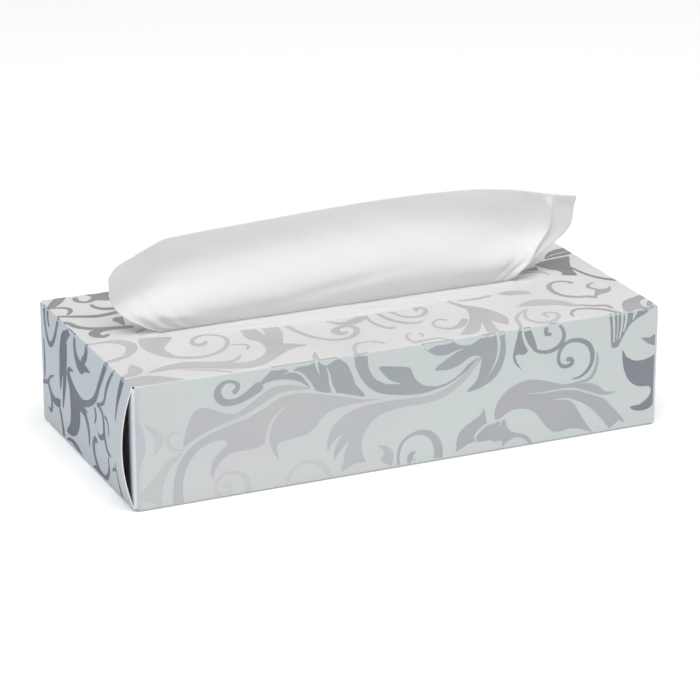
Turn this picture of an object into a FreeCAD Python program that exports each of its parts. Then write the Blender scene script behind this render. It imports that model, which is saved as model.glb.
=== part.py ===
import FreeCAD, Part
import math
import os
import Sketcher

os.makedirs("parts", exist_ok=True)
doc = FreeCAD.newDocument("TissueBox")

# Flat tissue carton lying on its base.
# X runs along the long side, Y from the front to the back, Z up.
# The origin is the middle of the base.
sheet = doc.addObject("Spreadsheet::Sheet", "Sizes")
sizeRows = [
    ("boxLength", 230.0, "outside length of the carton"),
    ("boxWidth", 110.0, "outside width, front to back"),
    ("boxHeight", 52.0, "outside height"),
    ("board", 0.45, "thickness of the paperboard"),
    ("foldRadius", 0.9, "outside radius of a creased fold"),
    ("openingLength", 185.0, "length of the lens-shaped cut-out"),
    ("openingWidth", 33.4, "width of the cut-out at its middle"),
    ("openingTip", 5.0, "radius at each end of the cut-out"),
    ("seamTab", 15.0, "height of the glued tab inside the back panel"),
    ("seamEdge", 0.1, "height of the back panel's cut edge over the base"),
    ("flapGap", 0.2, "glue line between two flaps"),
    ("flapRoot", 0.3, "flat run of a panel between the sleeve and a flap fold"),
    ("flapSide", 1.1, "setback of a flap's side edge from the box side"),
    ("flapFoot", 0.7, "setback of the outer flap's free edge from the base"),
    ("dustLength", 44.0, "length of a dust flap"),
    ("innerLength", 33.0, "length of the short flap folded up from the base"),
    ("looseRadius", 1.8, "fold radius of the dust flap that stands ajar"),
    ("looseLean", 6.1, "how far the same dust flap leans in at its free edge"),
    ("flapLift", 4.6, "how far the left outer flap bows out at its front edge"),
    ("flapLeg", 0.5, "straight run below the outer flap's fold"),
    ("glueHeight", 10.0, "height of a glue line"),
    ("glueLength", 30.0, "length of a glue line"),
    ("film", 0.1, "thickness of the window film"),
    ("filmLap", 9.0, "glued margin of the film round the cut-out"),
    ("slitInset", 8.5, "distance from each end of the cut-out to the slit"),
    ("lipReach", 6.0, "width of the film lip on each side of the slit"),
    ("lipRise", 3.0, "how far the lips stand up at the middle"),
    ("lipClear", 1.2, "clearance between a lip's edge and the tissue"),
    ("stackEndRoom", 3.1, "clearance between the stack and the dust flap that leans in"),
    ("stackSideRoom", 2.6, "clearance between the stack and the seam tab"),
    ("stackHeadRoom", 5.8, "clearance between the stack and the top panel"),
    ("stackBulge", 1.6, "rounding of the stack's folded sides"),
    ("tissue", 0.35, "loft of one two-ply sheet"),
    ("plyGap", 0.3, "space between the folded halves of the sheet"),
    ("foldInset", 3.5, "distance from the stack's side to the sheet's folds"),
    ("neckBend", 1.6, "radius where the sheet turns up to the slit"),
    ("laidInset", 4.0, "distance from the stack's end to the sheet that lies on it"),
    ("tipHeight", 38.4, "height of the sheet's top over the carton"),
    ("sheetTrim", 0.2, "how much shorter than the stack the sheet is at each end"),
    ("sheetLean", 11.3, "how far the sheet's upper half leans to the back"),
    ("slitSlack", 6.0, "distance from each end of the slit to the gathered sheet"),
]
for row, (alias, number, note) in enumerate(sizeRows, start=1):
    sheet.set("A%d" % row, note)
    sheet.set("B%d" % row, str(number))
    sheet.setAlias("B%d" % row, alias)
doc.recompute()


# A size carries its number and the expression that binds it to the sheet.
class Size:
    def __init__(self, number, text):
        self.number = number
        self.text = text

    def __add__(self, other):
        other = asSize(other)
        return Size(self.number + other.number, "(%s + %s)" % (self.text, other.text))

    def __radd__(self, other):
        return asSize(other) + self

    def __sub__(self, other):
        other = asSize(other)
        return Size(self.number - other.number, "(%s - %s)" % (self.text, other.text))

    def __rsub__(self, other):
        return asSize(other) - self

    def __mul__(self, other):
        other = asSize(other)
        return Size(self.number * other.number, "(%s * %s)" % (self.text, other.text))

    def __rmul__(self, other):
        return asSize(other) * self

    def __truediv__(self, other):
        other = asSize(other)
        return Size(self.number / other.number, "(%s / %s)" % (self.text, other.text))

    def __neg__(self):
        return asSize(-1) * self


def asSize(value):
    if isinstance(value, Size):
        return value
    return Size(float(value), "(%s)" % repr(float(value)))


def size(alias):
    return Size(float(sheet.get(alias)), "Sizes.%s" % alias)


def rootOf(square):
    return Size(math.sqrt(square.number), "sqrt(%s)" % square.text)


# Radius of an arc from its chord and its rise.
def arcRadius(chord, rise):
    return (chord * chord / 4 + rise * rise) / (rise * 2)


def makeBody(label):
    body = doc.addObject("PartDesign::Body", label)
    body.Label = label
    body.Placement = FreeCAD.Placement()
    return body


# A sketch on one of the body's own origin planes, moved along the plane's normal.
def makeSketch(body, name, role, offset=None):
    sketch = body.newObject("Sketcher::SketchObject", name)
    plane = [feature for feature in body.Origin.OriginFeatures if feature.Role == role][0]
    sketch.AttachmentSupport = (plane, [""])
    sketch.MapMode = "FlatFace"
    if offset is not None:
        sketch.AttachmentOffset = FreeCAD.Placement(FreeCAD.Vector(0, 0, offset.number), FreeCAD.Rotation())
        sketch.setExpression("AttachmentOffset.Base.z", offset.text)
    return sketch


# Adds a closed outline. Each corner is (x, y) or (x, y, radius): a radius makes
# the edge to the next corner an arc, anticlockwise where turn is 1 and clockwise where it is -1.
def drawOutline(sketch, corners):
    count = len(corners)
    ends = []
    for index in range(count):
        here = corners[index]
        after = corners[(index + 1) % count]
        start = FreeCAD.Vector(asSize(here[0]).number, asSize(here[1]).number, 0)
        finish = FreeCAD.Vector(asSize(after[0]).number, asSize(after[1]).number, 0)
        if len(here) == 2:
            edge = sketch.addGeometry(Part.LineSegment(start, finish), False)
            ends.append((edge, 1, 2))
            continue
        radius = asSize(here[2])
        turn = here[3]
        chord = finish.sub(start)
        half = chord.Length / 2
        rise = math.sqrt(max(radius.number ** 2 - half ** 2, 0))
        side = FreeCAD.Vector(-chord.y, chord.x, 0).normalize().multiply(rise * turn)
        centre = start.add(finish).multiply(0.5).add(side)
        first, last = (start, finish) if turn > 0 else (finish, start)
        angleFirst = math.atan2(first.y - centre.y, first.x - centre.x)
        angleLast = math.atan2(last.y - centre.y, last.x - centre.x)
        if angleLast < angleFirst:
            angleLast += 2 * math.pi
        circle = Part.Circle(centre, FreeCAD.Vector(0, 0, 1), radius.number)
        edge = sketch.addGeometry(Part.ArcOfCircle(circle, angleFirst, angleLast), False)
        ends.append((edge, 1, 2) if turn > 0 else (edge, 2, 1))
        if rise < 1e-6:
            sketch.addConstraint(Sketcher.Constraint("Symmetric", edge, 1, edge, 2, edge, 3))
        else:
            bind(sketch, Sketcher.Constraint("Radius", edge, radius.number), radius)
    for index in range(count):
        edge, startPoint, endPoint = ends[index]
        nextEdge, nextStart, nextEnd = ends[(index + 1) % count]
        sketch.addConstraint(Sketcher.Constraint("Coincident", edge, endPoint, nextEdge, nextStart))
        placePoint(sketch, edge, startPoint, "DistanceX", -2, asSize(corners[index][0]))
        placePoint(sketch, edge, startPoint, "DistanceY", -1, asSize(corners[index][1]))


def placePoint(sketch, edge, point, kind, axis, distance):
    if abs(distance.number) < 1e-9:
        sketch.addConstraint(Sketcher.Constraint("PointOnObject", edge, point, axis))
    elif distance.number > 0:
        bind(sketch, Sketcher.Constraint(kind, -1, 1, edge, point, distance.number), distance)
    else:
        bind(sketch, Sketcher.Constraint(kind, edge, point, -1, 1, -distance.number), -distance)


def bind(sketch, constraint, distance):
    index = sketch.addConstraint(constraint)
    if "Sizes." in distance.text:
        sketch.setExpression("Constraints[%d]" % index, distance.text)


# Pads a sketch by one length, or evenly to both sides of its plane.
def padSketch(body, sketch, name, length, bothSides=False):
    pad = body.newObject("PartDesign::Pad", name)
    pad.Profile = sketch
    pad.Midplane = bothSides
    pad.Length = length.number
    pad.setExpression("Length", length.text)
    body.Tip = pad
    return pad


def loftSketches(body, sketches, name, ruled=False):
    loft = body.newObject("PartDesign::AdditiveLoft", name)
    loft.Profile = sketches[0]
    loft.Sections = sketches[1:]
    loft.Ruled = ruled
    body.Tip = loft
    return loft


boxLength = size("boxLength")
boxWidth = size("boxWidth")
boxHeight = size("boxHeight")
board = size("board")
foldRadius = size("foldRadius")
flapGap = size("flapGap")
flapSide = size("flapSide")
innerRadius = foldRadius - board
halfLength = boxLength / 2
halfWidth = boxWidth / 2

# Outside face of each layer of the end closure, from the middle of the box.
innerFace = halfLength - board - flapGap
dustFace = innerFace - board - flapGap
sleeveEnd = dustFace - foldRadius - size("flapRoot")

# carton: one printed, creased and glued blank.
carton = makeBody("carton")

# Sleeve: top, front, base and back in one run, the seam tab glued inside the back panel.
seamTab = size("seamTab")
seamEdge = size("seamEdge")
tabFace = halfWidth - board
tabCentre = tabFace - foldRadius
sixty = asSize(math.sin(math.radians(60)))
sleeve = makeSketch(carton, "SleeveSection", "YZ_Plane")
drawOutline(sleeve, [
    (-halfWidth + foldRadius, 0),
    (tabCentre, 0, foldRadius, 1),
    (tabCentre + foldRadius * sixty, foldRadius / 2),
    (tabFace, foldRadius / 2),
    (tabFace, seamEdge),
    (halfWidth, seamEdge),
    (halfWidth, boxHeight - foldRadius, foldRadius, 1),
    (halfWidth - foldRadius, boxHeight),
    (-halfWidth + foldRadius, boxHeight, foldRadius, 1),
    (-halfWidth, boxHeight - foldRadius),
    (-halfWidth, foldRadius, foldRadius, 1),
])
drawOutline(sleeve, [
    (-halfWidth + foldRadius, board),
    (tabCentre, board, innerRadius, 1),
    (tabFace - board, foldRadius),
    (tabFace - board, seamTab),
    (tabFace, seamTab),
    (tabFace, boxHeight - foldRadius, innerRadius, 1),
    (halfWidth - foldRadius, boxHeight - board),
    (-halfWidth + foldRadius, boxHeight - board, innerRadius, 1),
    (-halfWidth + board, boxHeight - foldRadius),
    (-halfWidth + board, foldRadius, innerRadius, 1),
])
sleevePad = padSketch(carton, sleeve, "Sleeve", sleeveEnd * 2, True)
doc.recompute()
sleeveVolume = carton.Shape.Volume

# Lens-shaped cut-out: two long arcs that run into a small arc at each end.
openingLength = size("openingLength")
openingWidth = size("openingWidth")
openingTip = size("openingTip")
tipCentre = openingLength / 2 - openingTip
halfOpening = openingWidth / 2
longRadius = (tipCentre * tipCentre + halfOpening * halfOpening - openingTip * openingTip) / ((halfOpening - openingTip) * 2)
longCentre = longRadius - halfOpening
tipX = tipCentre + openingTip * tipCentre / (longRadius - openingTip)
tipY = openingTip * longCentre / (longRadius - openingTip)
cutout = makeSketch(carton, "CutoutOutline", "XY_Plane", boxHeight)
drawOutline(cutout, [
    (-tipX, -tipY, longRadius, 1),
    (tipX, -tipY, openingTip, 1),
    (tipX, tipY, longRadius, 1),
    (-tipX, tipY, openingTip, 1),
])
cutoutPocket = carton.newObject("PartDesign::Pocket", "Cutout")
cutoutPocket.Profile = cutout
cutoutPocket.Length = 2 * board.number
cutoutPocket.setExpression("Length", (board * 2).text)
carton.Tip = cutoutPocket
doc.recompute()
if carton.Shape.Volume >= sleeveVolume:
    raise RuntimeError("the cut-out removes nothing")


# A flap that turns off one panel at a fold. The panel's outside face is at panelFace,
# the flap's outside face at flapFace, and the flap ends at flapEnd.
def drawFlap(sketch, start, panelFace, inward, flapFace, end, flapEnd):
    turn = inward * end
    drawOutline(sketch, [
        (start, panelFace),
        (flapFace - foldRadius * end, panelFace, foldRadius, turn),
        (flapFace, panelFace + foldRadius * inward),
        (flapFace, flapEnd),
        (flapFace - board * end, flapEnd),
        (flapFace - board * end, panelFace + foldRadius * inward, innerRadius, -turn),
        (flapFace - foldRadius * end, panelFace + board * inward),
        (start, panelFace + board * inward),
    ])


flapWidth = boxWidth - flapSide * 2
dustLength = size("dustLength")
innerLength = size("innerLength")
flapFoot = size("flapFoot")
looseRadius = size("looseRadius")
looseLean = size("looseLean")
dustTall = boxHeight - flapSide * 2

# Each end: two dust flaps, the short flap up from the base, the full flap down from the top.
for end, endName in ((-1, "Left"), (1, "Right")):
    ringFace = sleeveEnd * end
    for side, sideName in ((-1, "Front"), (1, "Back")):
        if end == -1 and side == -1:
            continue
        dust = makeSketch(carton, endName + sideName + "DustSection", "XY_Plane", flapSide)
        drawFlap(dust, ringFace, halfWidth * side, -side, dustFace * end, end, (halfWidth - dustLength) * side)
        padSketch(carton, dust, endName + sideName + "Dust", dustTall)
    inner = makeSketch(carton, endName + "InnerSection", "XZ_Plane")
    drawFlap(inner, ringFace, asSize(0), 1, innerFace * end, end, innerLength)
    padSketch(carton, inner, endName + "Inner", flapWidth, True)

# The left front dust flap stands ajar: a looser fold, turned in past the square.
cosine = -looseLean / dustLength
sine = rootOf(1 - cosine * cosine)
looseX = -(dustFace - looseRadius)
looseY = -halfWidth + looseRadius
looseInner = looseRadius - board
foldOutX = looseX - looseRadius * sine
foldOutY = looseY - looseRadius * cosine
foldInX = looseX - looseInner * sine
foldInY = looseY - looseInner * cosine
loose = makeSketch(carton, "LooseDustSection", "XY_Plane", flapSide)
drawOutline(loose, [
    (-sleeveEnd + looseRadius, -halfWidth),
    (looseX, -halfWidth, looseRadius, -1),
    (foldOutX, foldOutY),
    (foldOutX - dustLength * cosine, foldOutY + dustLength * sine),
    (foldInX - dustLength * cosine, foldInY + dustLength * sine),
    (foldInX, foldInY, looseInner, 1),
    (looseX, -halfWidth + board),
    (-sleeveEnd + looseRadius, -halfWidth + board),
])
padSketch(carton, loose, "LooseDust", dustTall)

# Right outer flap, glued flat.
outerRight = makeSketch(carton, "RightOuterSection", "XZ_Plane")
drawFlap(outerRight, sleeveEnd, boxHeight, -1, halfLength, 1, flapFoot)
padSketch(carton, outerRight, "RightOuter", flapWidth, True)

# Left outer flap: the fold is straight, the panel below it bows out towards its front edge.
flapLift = size("flapLift")
flapLeg = size("flapLeg")
legEnd = boxHeight - foldRadius - flapLeg
outerLeft = makeSketch(carton, "LeftOuterSection", "XZ_Plane")
drawFlap(outerLeft, -sleeveEnd, boxHeight, -1, -halfLength, -1, legEnd)
padSketch(carton, outerLeft, "LeftOuterFold", flapWidth, True)
bowShares = ((0.0, 1.0), (0.15, 0.56), (0.32, 0.17), (0.50, 0.02), (1.0, 0.005))
bowSketches = []
for index, (along, share) in enumerate(bowShares):
    station = flapWidth / 2 - flapWidth * along
    bowRadius = arcRadius(legEnd - flapFoot, flapLift * share)
    section = makeSketch(carton, "BowSection%d" % (index + 1), "XZ_Plane", station)
    drawOutline(section, [
        (-halfLength, legEnd, bowRadius, 1),
        (-halfLength, flapFoot),
        (-halfLength + board, flapFoot, bowRadius, -1),
        (-halfLength + board, legEnd),
    ])
    bowSketches.append(section)
loftSketches(carton, bowSketches, "LeftOuterBow")

# Glue lines that hold the flaps together, from the middle of one board to the middle of the next.
glueHeight = size("glueHeight")
glueLength = size("glueLength")
glueBack = halfWidth - dustLength / 2
glueMiddle = innerLength - glueHeight
for end, endName in ((-1, "Left"), (1, "Right")):
    for outerFace, layer in ((halfLength, "Outer"), (innerFace, "Dust")):
        for side, sideName in ((-1, "Front"), (1, "Back")):
            if end == -1 and side == -1:
                continue
            name = endName + layer + sideName + "Glue"
            glue = makeSketch(carton, name + "Outline", "XZ_Plane", -glueBack * side)
            nearFace = (outerFace - board / 2) * end
            farFace = (outerFace - board * 1.5 - flapGap) * end
            drawOutline(glue, [
                (nearFace, glueMiddle - glueHeight / 2),
                (farFace, glueMiddle - glueHeight / 2),
                (farFace, glueMiddle + glueHeight / 2),
                (nearFace, glueMiddle + glueHeight / 2),
            ])
            padSketch(carton, glue, name, glueLength, True)
doc.recompute()

# film_window: clear film glued under the cut-out, slit along its length.
film = size("film")
filmLap = size("filmLap")
lipReach = size("lipReach")
lipRise = size("lipRise")
lipClear = size("lipClear")
tissue = size("tissue")
filmTop = boxHeight - board
filmX = openingLength / 2 + filmLap
filmY = openingWidth / 2 + filmLap
halfSlit = openingLength / 2 - size("slitInset")
window = makeBody("film_window")
filmOutline = makeSketch(window, "FilmOutline", "XY_Plane", filmTop - film)
drawOutline(filmOutline, [(-filmX, -filmY), (filmX, -filmY), (filmX, filmY), (-filmX, filmY)])
drawOutline(filmOutline, [
    (-halfSlit, -lipReach),
    (halfSlit, -lipReach),
    (halfSlit, lipReach),
    (-halfSlit, lipReach),
])
padSketch(window, filmOutline, "FilmSheet", film)

# The two lips curl up round the tissue and lie nearly flat at the ends of the slit.
lipEdge = tissue / 2 + lipClear
lipRun = lipReach - lipEdge
lipShares = ((-1.0, 0.02), (-0.55, 0.75), (0.0, 1.0), (0.55, 0.75), (1.0, 0.02))
for side, sideName in ((-1, "Front"), (1, "Back")):
    lipSketches = []
    for index, (along, share) in enumerate(lipShares):
        rise = lipRise * share
        lipRadius = (lipRun * lipRun + rise * rise) / (rise * 2)
        section = makeSketch(window, "%sLipSection%d" % (sideName, index + 1), "YZ_Plane", halfSlit * along)
        drawOutline(section, [
            (lipReach * side, filmTop - film, lipRadius, -side),
            (lipEdge * side, filmTop - film + rise),
            (lipEdge * side, filmTop + rise, lipRadius, side),
            (lipReach * side, filmTop),
        ])
        lipSketches.append(section)
    loftSketches(window, lipSketches, sideName + "Lip")
doc.recompute()

# tissue_stack: the interfolded clip, flat on top and rounded along its folded sides.
stackEnd = dustFace - board - looseLean - size("stackEndRoom")
stackHalfWidth = tabFace - board - size("stackSideRoom")
stackHeight = boxHeight - board * 2 - size("stackHeadRoom")
stackBulge = size("stackBulge")
stackTop = board + stackHeight
stackSide = stackHalfWidth - stackBulge
stackRadius = arcRadius(stackHeight, stackBulge)
stack = makeBody("tissue_stack")
stackSection = makeSketch(stack, "StackSection", "YZ_Plane")
drawOutline(stackSection, [
    (-stackSide, board),
    (stackSide, board, stackRadius, 1),
    (stackSide, stackTop),
    (-stackSide, stackTop, stackRadius, 1),
])
padSketch(stack, stackSection, "Stack", stackEnd * 2, True)

# popped_tissue: the lower half lies folded on the stack, the upper half stands through the slit.
plyGap = size("plyGap")
foldReach = stackHalfWidth - size("foldInset")
neckBend = size("neckBend")
laidHalf = stackEnd - size("laidInset")
halfSheet = tissue / 2
lowerTop = stackTop + tissue
upperFace = lowerTop + plyGap
upperTop = upperFace + tissue
turnRadius = tissue + plyGap / 2
neckTop = upperTop + neckBend
popped = makeBody("popped_tissue")
laidSection = makeSketch(popped, "LaidSection", "YZ_Plane")
drawOutline(laidSection, [
    (foldReach, stackTop),
    (foldReach, lowerTop),
    (-foldReach, lowerTop, plyGap / 2, -1),
    (-foldReach, upperFace),
    (-halfSheet - neckBend, upperFace, neckBend + tissue, 1),
    (halfSheet, neckTop),
    (-halfSheet, neckTop, neckBend, -1),
    (-halfSheet - neckBend, upperTop),
    (-foldReach, upperTop, turnRadius, 1),
    (-foldReach, stackTop),
])
padSketch(popped, laidSection, "LaidHalf", laidHalf * 2, True)


# One level of the standing half: a straight strip across the sheet.
def drawStrip(name, level, leftX, rightX, lean):
    strip = makeSketch(popped, name, "XY_Plane", level)
    drawOutline(strip, [
        (leftX, lean - halfSheet),
        (rightX, lean - halfSheet),
        (rightX, lean + halfSheet),
        (leftX, lean + halfSheet),
    ])
    return strip


tipHeight = size("tipHeight")
sheetReach = stackEnd - size("sheetTrim")
sheetLean = size("sheetLean")
slitGather = halfSlit - size("slitSlack")
neckSketches = [
    drawStrip("NeckSection1", neckTop, -laidHalf, laidHalf, asSize(0)),
    drawStrip("NeckSection2", boxHeight, -slitGather, slitGather, asSize(0)),
]
loftSketches(popped, neckSketches, "Neck", True)

# Share of the height, reach of the left and right edge past the slit, share of the lean.
# The sheet dips to the front just over the slit, then bends to the back.
standLevels = (
    (0.0, 0.0, 0.0, 0.0),
    (0.105, 0.58, 0.20, -0.07),
    (0.234, 0.774, 0.52, 0.01),
    (0.36, 0.85, 0.69, 0.18),
    (0.48, 0.90, 0.82, 0.40),
    (0.60, 0.967, 0.925, 0.63),
    (0.755, 0.93, 0.983, 0.88),
    (0.846, 0.66, 0.60, 0.97),
    (0.924, 0.19, -0.02, 1.0),
    (0.964, -0.85, -0.50, 0.98),
    (1.0, -2.24, -1.28, 0.94),
)
standSketches = []
for index, (up, left, right, lean) in enumerate(standLevels):
    leftX = -slitGather - (sheetReach - slitGather) * left
    rightX = slitGather + (sheetReach - slitGather) * right
    name = "StandSection%d" % (index + 1)
    standSketches.append(drawStrip(name, boxHeight + tipHeight * up, leftX, rightX, sheetLean * lean))
loftSketches(popped, standSketches, "StandingHalf", True)
doc.recompute()

# Every object is sound before anything is written.
for item in doc.Objects:
    if "Invalid" in item.State or "Error" in item.State:
        raise RuntimeError("%s failed to build" % item.Label)
pieces = [carton, window, stack, popped]
for piece in pieces:
    if piece.Shape.isNull() or not piece.Shape.isValid():
        raise RuntimeError("%s has no sound shape" % piece.Label)
for piece in pieces:
    piece.Shape.exportStep("parts/%s.step" % piece.Label)
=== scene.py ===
import math

import bmesh
import bpy
import numpy as np
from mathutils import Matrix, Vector, noise
from mathutils.bvhtree import BVHTree
from mathutils.geometry import barycentric_transform, delaunay_2d_cdt


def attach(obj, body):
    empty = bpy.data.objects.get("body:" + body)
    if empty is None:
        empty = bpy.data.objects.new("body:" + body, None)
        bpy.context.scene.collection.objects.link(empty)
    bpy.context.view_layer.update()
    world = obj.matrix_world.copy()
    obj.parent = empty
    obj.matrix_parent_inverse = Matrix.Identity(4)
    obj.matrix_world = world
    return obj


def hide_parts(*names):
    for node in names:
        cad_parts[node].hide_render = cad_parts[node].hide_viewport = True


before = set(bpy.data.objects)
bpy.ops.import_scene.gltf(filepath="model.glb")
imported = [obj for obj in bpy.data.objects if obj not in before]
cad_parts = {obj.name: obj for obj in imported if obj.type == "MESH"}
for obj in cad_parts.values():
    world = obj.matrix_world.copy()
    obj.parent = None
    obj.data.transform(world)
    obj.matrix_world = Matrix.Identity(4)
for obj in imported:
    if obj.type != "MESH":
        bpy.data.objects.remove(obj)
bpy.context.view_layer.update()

mm = 0.001
scene = bpy.context.scene

# sizes of the carton that the print, film and tissue share, in millimetres
carton = {
    "length": 230.0,
    "width": 110.0,
    "height": 52.0,
    "foldRadius": 0.9,
    "cutoutLength": 185.0,
    "cutoutWidth": 33.4,
    "cutoutTip": 5.0,
}
halfLength = carton["length"] / 2
halfWidth = carton["width"] / 2
height = carton["height"]


# camera, set first
print("camera")
view = {
    "azimuth": -24.10,
    "elevation": 20.21,
    "distance": 1.2445,     # in metres, like the aim and the slides
    "lens": 154.5,
    "aim": (0.0, 0.0, 0.026),
    "slideRight": 0.000636,
    "slideUp": 0.004958,
    "sensor": 36,
}


def makeCamera():
    a = math.radians(view["azimuth"])
    e = math.radians(view["elevation"])
    back = Vector((math.sin(a) * math.cos(e), -math.cos(a) * math.cos(e), math.sin(e)))
    right = (-back).cross(Vector((0, 0, 1))).normalized()
    up = right.cross(-back)
    data = bpy.data.cameras.new("camera")
    data.lens = view["lens"]
    data.sensor_width = view["sensor"]
    data.clip_start = 0.01
    data.clip_end = 50
    camera = bpy.data.objects.new("camera", data)
    place = Vector(view["aim"]) + back * view["distance"]
    camera.location = place + right * view["slideRight"] + up * view["slideUp"]
    camera.rotation_mode = "QUATERNION"
    camera.rotation_quaternion = (-back).to_track_quat("-Z", "Y")
    scene.collection.objects.link(camera)
    scene.camera = camera


makeCamera()


# small helpers
def smoothStep(low, high, value):
    share = min(max((value - low) / (high - low), 0.0), 1.0)
    return share * share * (3 - 2 * share)


def bell(distance, spread):
    return math.exp(-(distance / spread) ** 2)


def wave(x, y, z):
    return noise.noise(Vector((x, y, z)))


def blendTable(table, value):
    # a smooth line through the (place, amount) pairs of a short table
    if value <= table[0][0]:
        return table[0][1]
    if value >= table[-1][0]:
        return table[-1][1]
    slopes = []
    for index in range(len(table)):
        before = table[max(index - 1, 0)]
        after = table[min(index + 1, len(table) - 1)]
        slopes.append((after[1] - before[1]) / (after[0] - before[0]))
    for index in range(len(table) - 1):
        low, high = table[index], table[index + 1]
        if value <= high[0]:
            span = high[0] - low[0]
            t = (value - low[0]) / span
            fromLow = (1 + 2 * t) * (1 - t) ** 2 * low[1] + t * (1 - t) ** 2 * span * slopes[index]
            return fromLow + t * t * (3 - 2 * t) * high[1] + t * t * (t - 1) * span * slopes[index + 1]
    return table[-1][1]


def makeObject(name, mesh, materials):
    obj = bpy.data.objects.new(name, mesh)
    scene.collection.objects.link(obj)
    for material in materials:
        obj.data.materials.append(material)
    return obj


def bakeModifiers(obj):
    bpy.context.view_layer.update()
    graph = bpy.context.evaluated_depsgraph_get()
    mesh = bpy.data.meshes.new_from_object(obj.evaluated_get(graph))
    obj.modifiers.clear()
    obj.data = mesh


def makeSurface(name, vertices, faces, material):
    # a smooth sheet from a grid of places
    mesh = bpy.data.meshes.new(name)
    mesh.from_pydata(vertices, [], faces)
    mesh.polygons.foreach_set("use_smooth", [True] * len(mesh.polygons))
    return makeObject(name, mesh, [material])


# how the board gives, in millimetres
boardGive = {
    "topFront": 0.55,       # sag of the top towards the front
    "topBack": 0.35,        # and towards the back
    "topWaves": 0.25,
    "side": 0.35,           # how far the front and back draw in
    "sideWaves": 0.45,
    "cornerOut": 1.3,       # how far the four upright corners stand out
    "cornerFrom": 92,       # places, from here to the end of the panel
    "cornerTo": 113.2,
    "dustSwell": 0.5,       # of the dust flap behind the open seam
    "dustDent": 1.2,
    "dustFace": -113.8,     # places of that flap's face and fold
    "dustFold": -54.4,
    "shortFace": -114.5,    # place of the short flap from the base
    "shortFlap": 0.5,       # the share by which it draws in
}


def boardSag(point):
    # the slight give of the panels at a point in millimetres, the same for board and print
    x, y, z = point
    side = -1 if y < 0 else 1
    along = max(1 - (x / halfLength) ** 2, 0)
    middle = math.sin(math.pi * min(max(z / height, 0), 1))
    dx = dy = dz = 0.0
    if z > 20:
        lift = smoothStep(20, height, z)
        dz -= boardGive["topFront"] * along * smoothStep(5, -halfWidth, y) * lift
        dz -= boardGive["topBack"] * along * smoothStep(5, halfWidth, y) * lift
        dz -= boardGive["topWaves"] * lift * max(0.0, wave(x * 0.02, y * 0.035, 3.1))
    if abs(y) > 50:
        drawnIn = boardGive["side"] + boardGive["sideWaves"] * wave(x * 0.013, side * 7.7, 1.3)
        dy -= side * middle * drawnIn * along
    if x < -105 and y < 0:
        swell = middle ** 0.6
        fold = boardGive["dustFold"]
        if boardGive["dustFace"] < x and y > fold:
            # the dust flap swells a little beside its fold and dips in behind it
            dx -= boardGive["dustSwell"] * swell * smoothStep(fold, -51.5, y) * smoothStep(-46, -50, y)
            dx += boardGive["dustDent"] * swell * smoothStep(-50, -45, y) * smoothStep(-15, -35, y)
        elif boardGive["shortFace"] < x < boardGive["dustFace"] and z < 34:
            # the short flap from the base stops where the dust flap swells
            dy -= y * boardGive["shortFlap"] * smoothStep(0.6, 5.0, z)
    atCorner = boardGive["cornerFrom"] < abs(x) < -boardGive["dustFace"] and abs(y) > 45
    if atCorner and (z < 51.2 or abs(y) > 54.15):
        # the upright corners stand out as far as the end folds of the top
        out = smoothStep(boardGive["cornerFrom"], boardGive["cornerTo"], abs(x)) * smoothStep(45, 50, abs(y))
        dx += math.copysign(boardGive["cornerOut"] * out * smoothStep(0.0, 1.2, z), x)
    return Vector((x + dx, y + dy, z + dz))


# finishes
print("finishes")


def newMaterial(name):
    material = bpy.data.materials.new(name)
    material.use_nodes = True
    return material, material.node_tree, material.node_tree.nodes["Principled BSDF"]


def addNoise(tree, scale, detail=3.0, stretch=(1, 1, 1)):
    nodes = tree.nodes
    links = tree.links
    coordinates = nodes.new("ShaderNodeTexCoord")
    mapping = nodes.new("ShaderNodeMapping")
    mapping.inputs["Scale"].default_value = stretch
    texture = nodes.new("ShaderNodeTexNoise")
    texture.inputs["Scale"].default_value = scale
    texture.inputs["Detail"].default_value = detail
    links.new(coordinates.outputs["Object"], mapping.inputs["Vector"])
    links.new(mapping.outputs["Vector"], texture.inputs["Vector"])
    return texture.outputs["Fac"]


def addRamp(tree, factor, low, high, lowColour, highColour):
    ramp = tree.nodes.new("ShaderNodeValToRGB")
    ramp.color_ramp.elements[0].position = low
    ramp.color_ramp.elements[0].color = (*lowColour, 1)
    ramp.color_ramp.elements[1].position = high
    ramp.color_ramp.elements[1].color = (*highColour, 1)
    tree.links.new(factor, ramp.inputs["Fac"])
    return ramp.outputs["Color"]


def addBump(tree, shader, relief, strength, depth):
    bump = tree.nodes.new("ShaderNodeBump")
    bump.inputs["Strength"].default_value = strength
    bump.inputs["Distance"].default_value = depth
    tree.links.new(relief, bump.inputs["Height"])
    tree.links.new(bump.outputs["Normal"], shader.inputs["Normal"])


def setShader(shader, **values):
    # roughness=0.4 sets Roughness, coatRoughness=0.1 sets Coat Roughness
    for name, value in values.items():
        socket = "".join(" " + letter if letter.isupper() else letter for letter in name)
        shader.inputs[socket.title()].default_value = value


# a finish has these values unless its own line says otherwise
plainFinish = {
    "roughness": 0.42,
    "metallic": 0.0,
    "coatWeight": 0.0,
    "specular": 0.5,
    "cloud": 18.0,          # scale of the soft change between the two colours
    "grain": 2600.0,        # scale of the fine relief
    "grainStrength": 0.12,
    "grainDepth": 0.00004,
}


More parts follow.
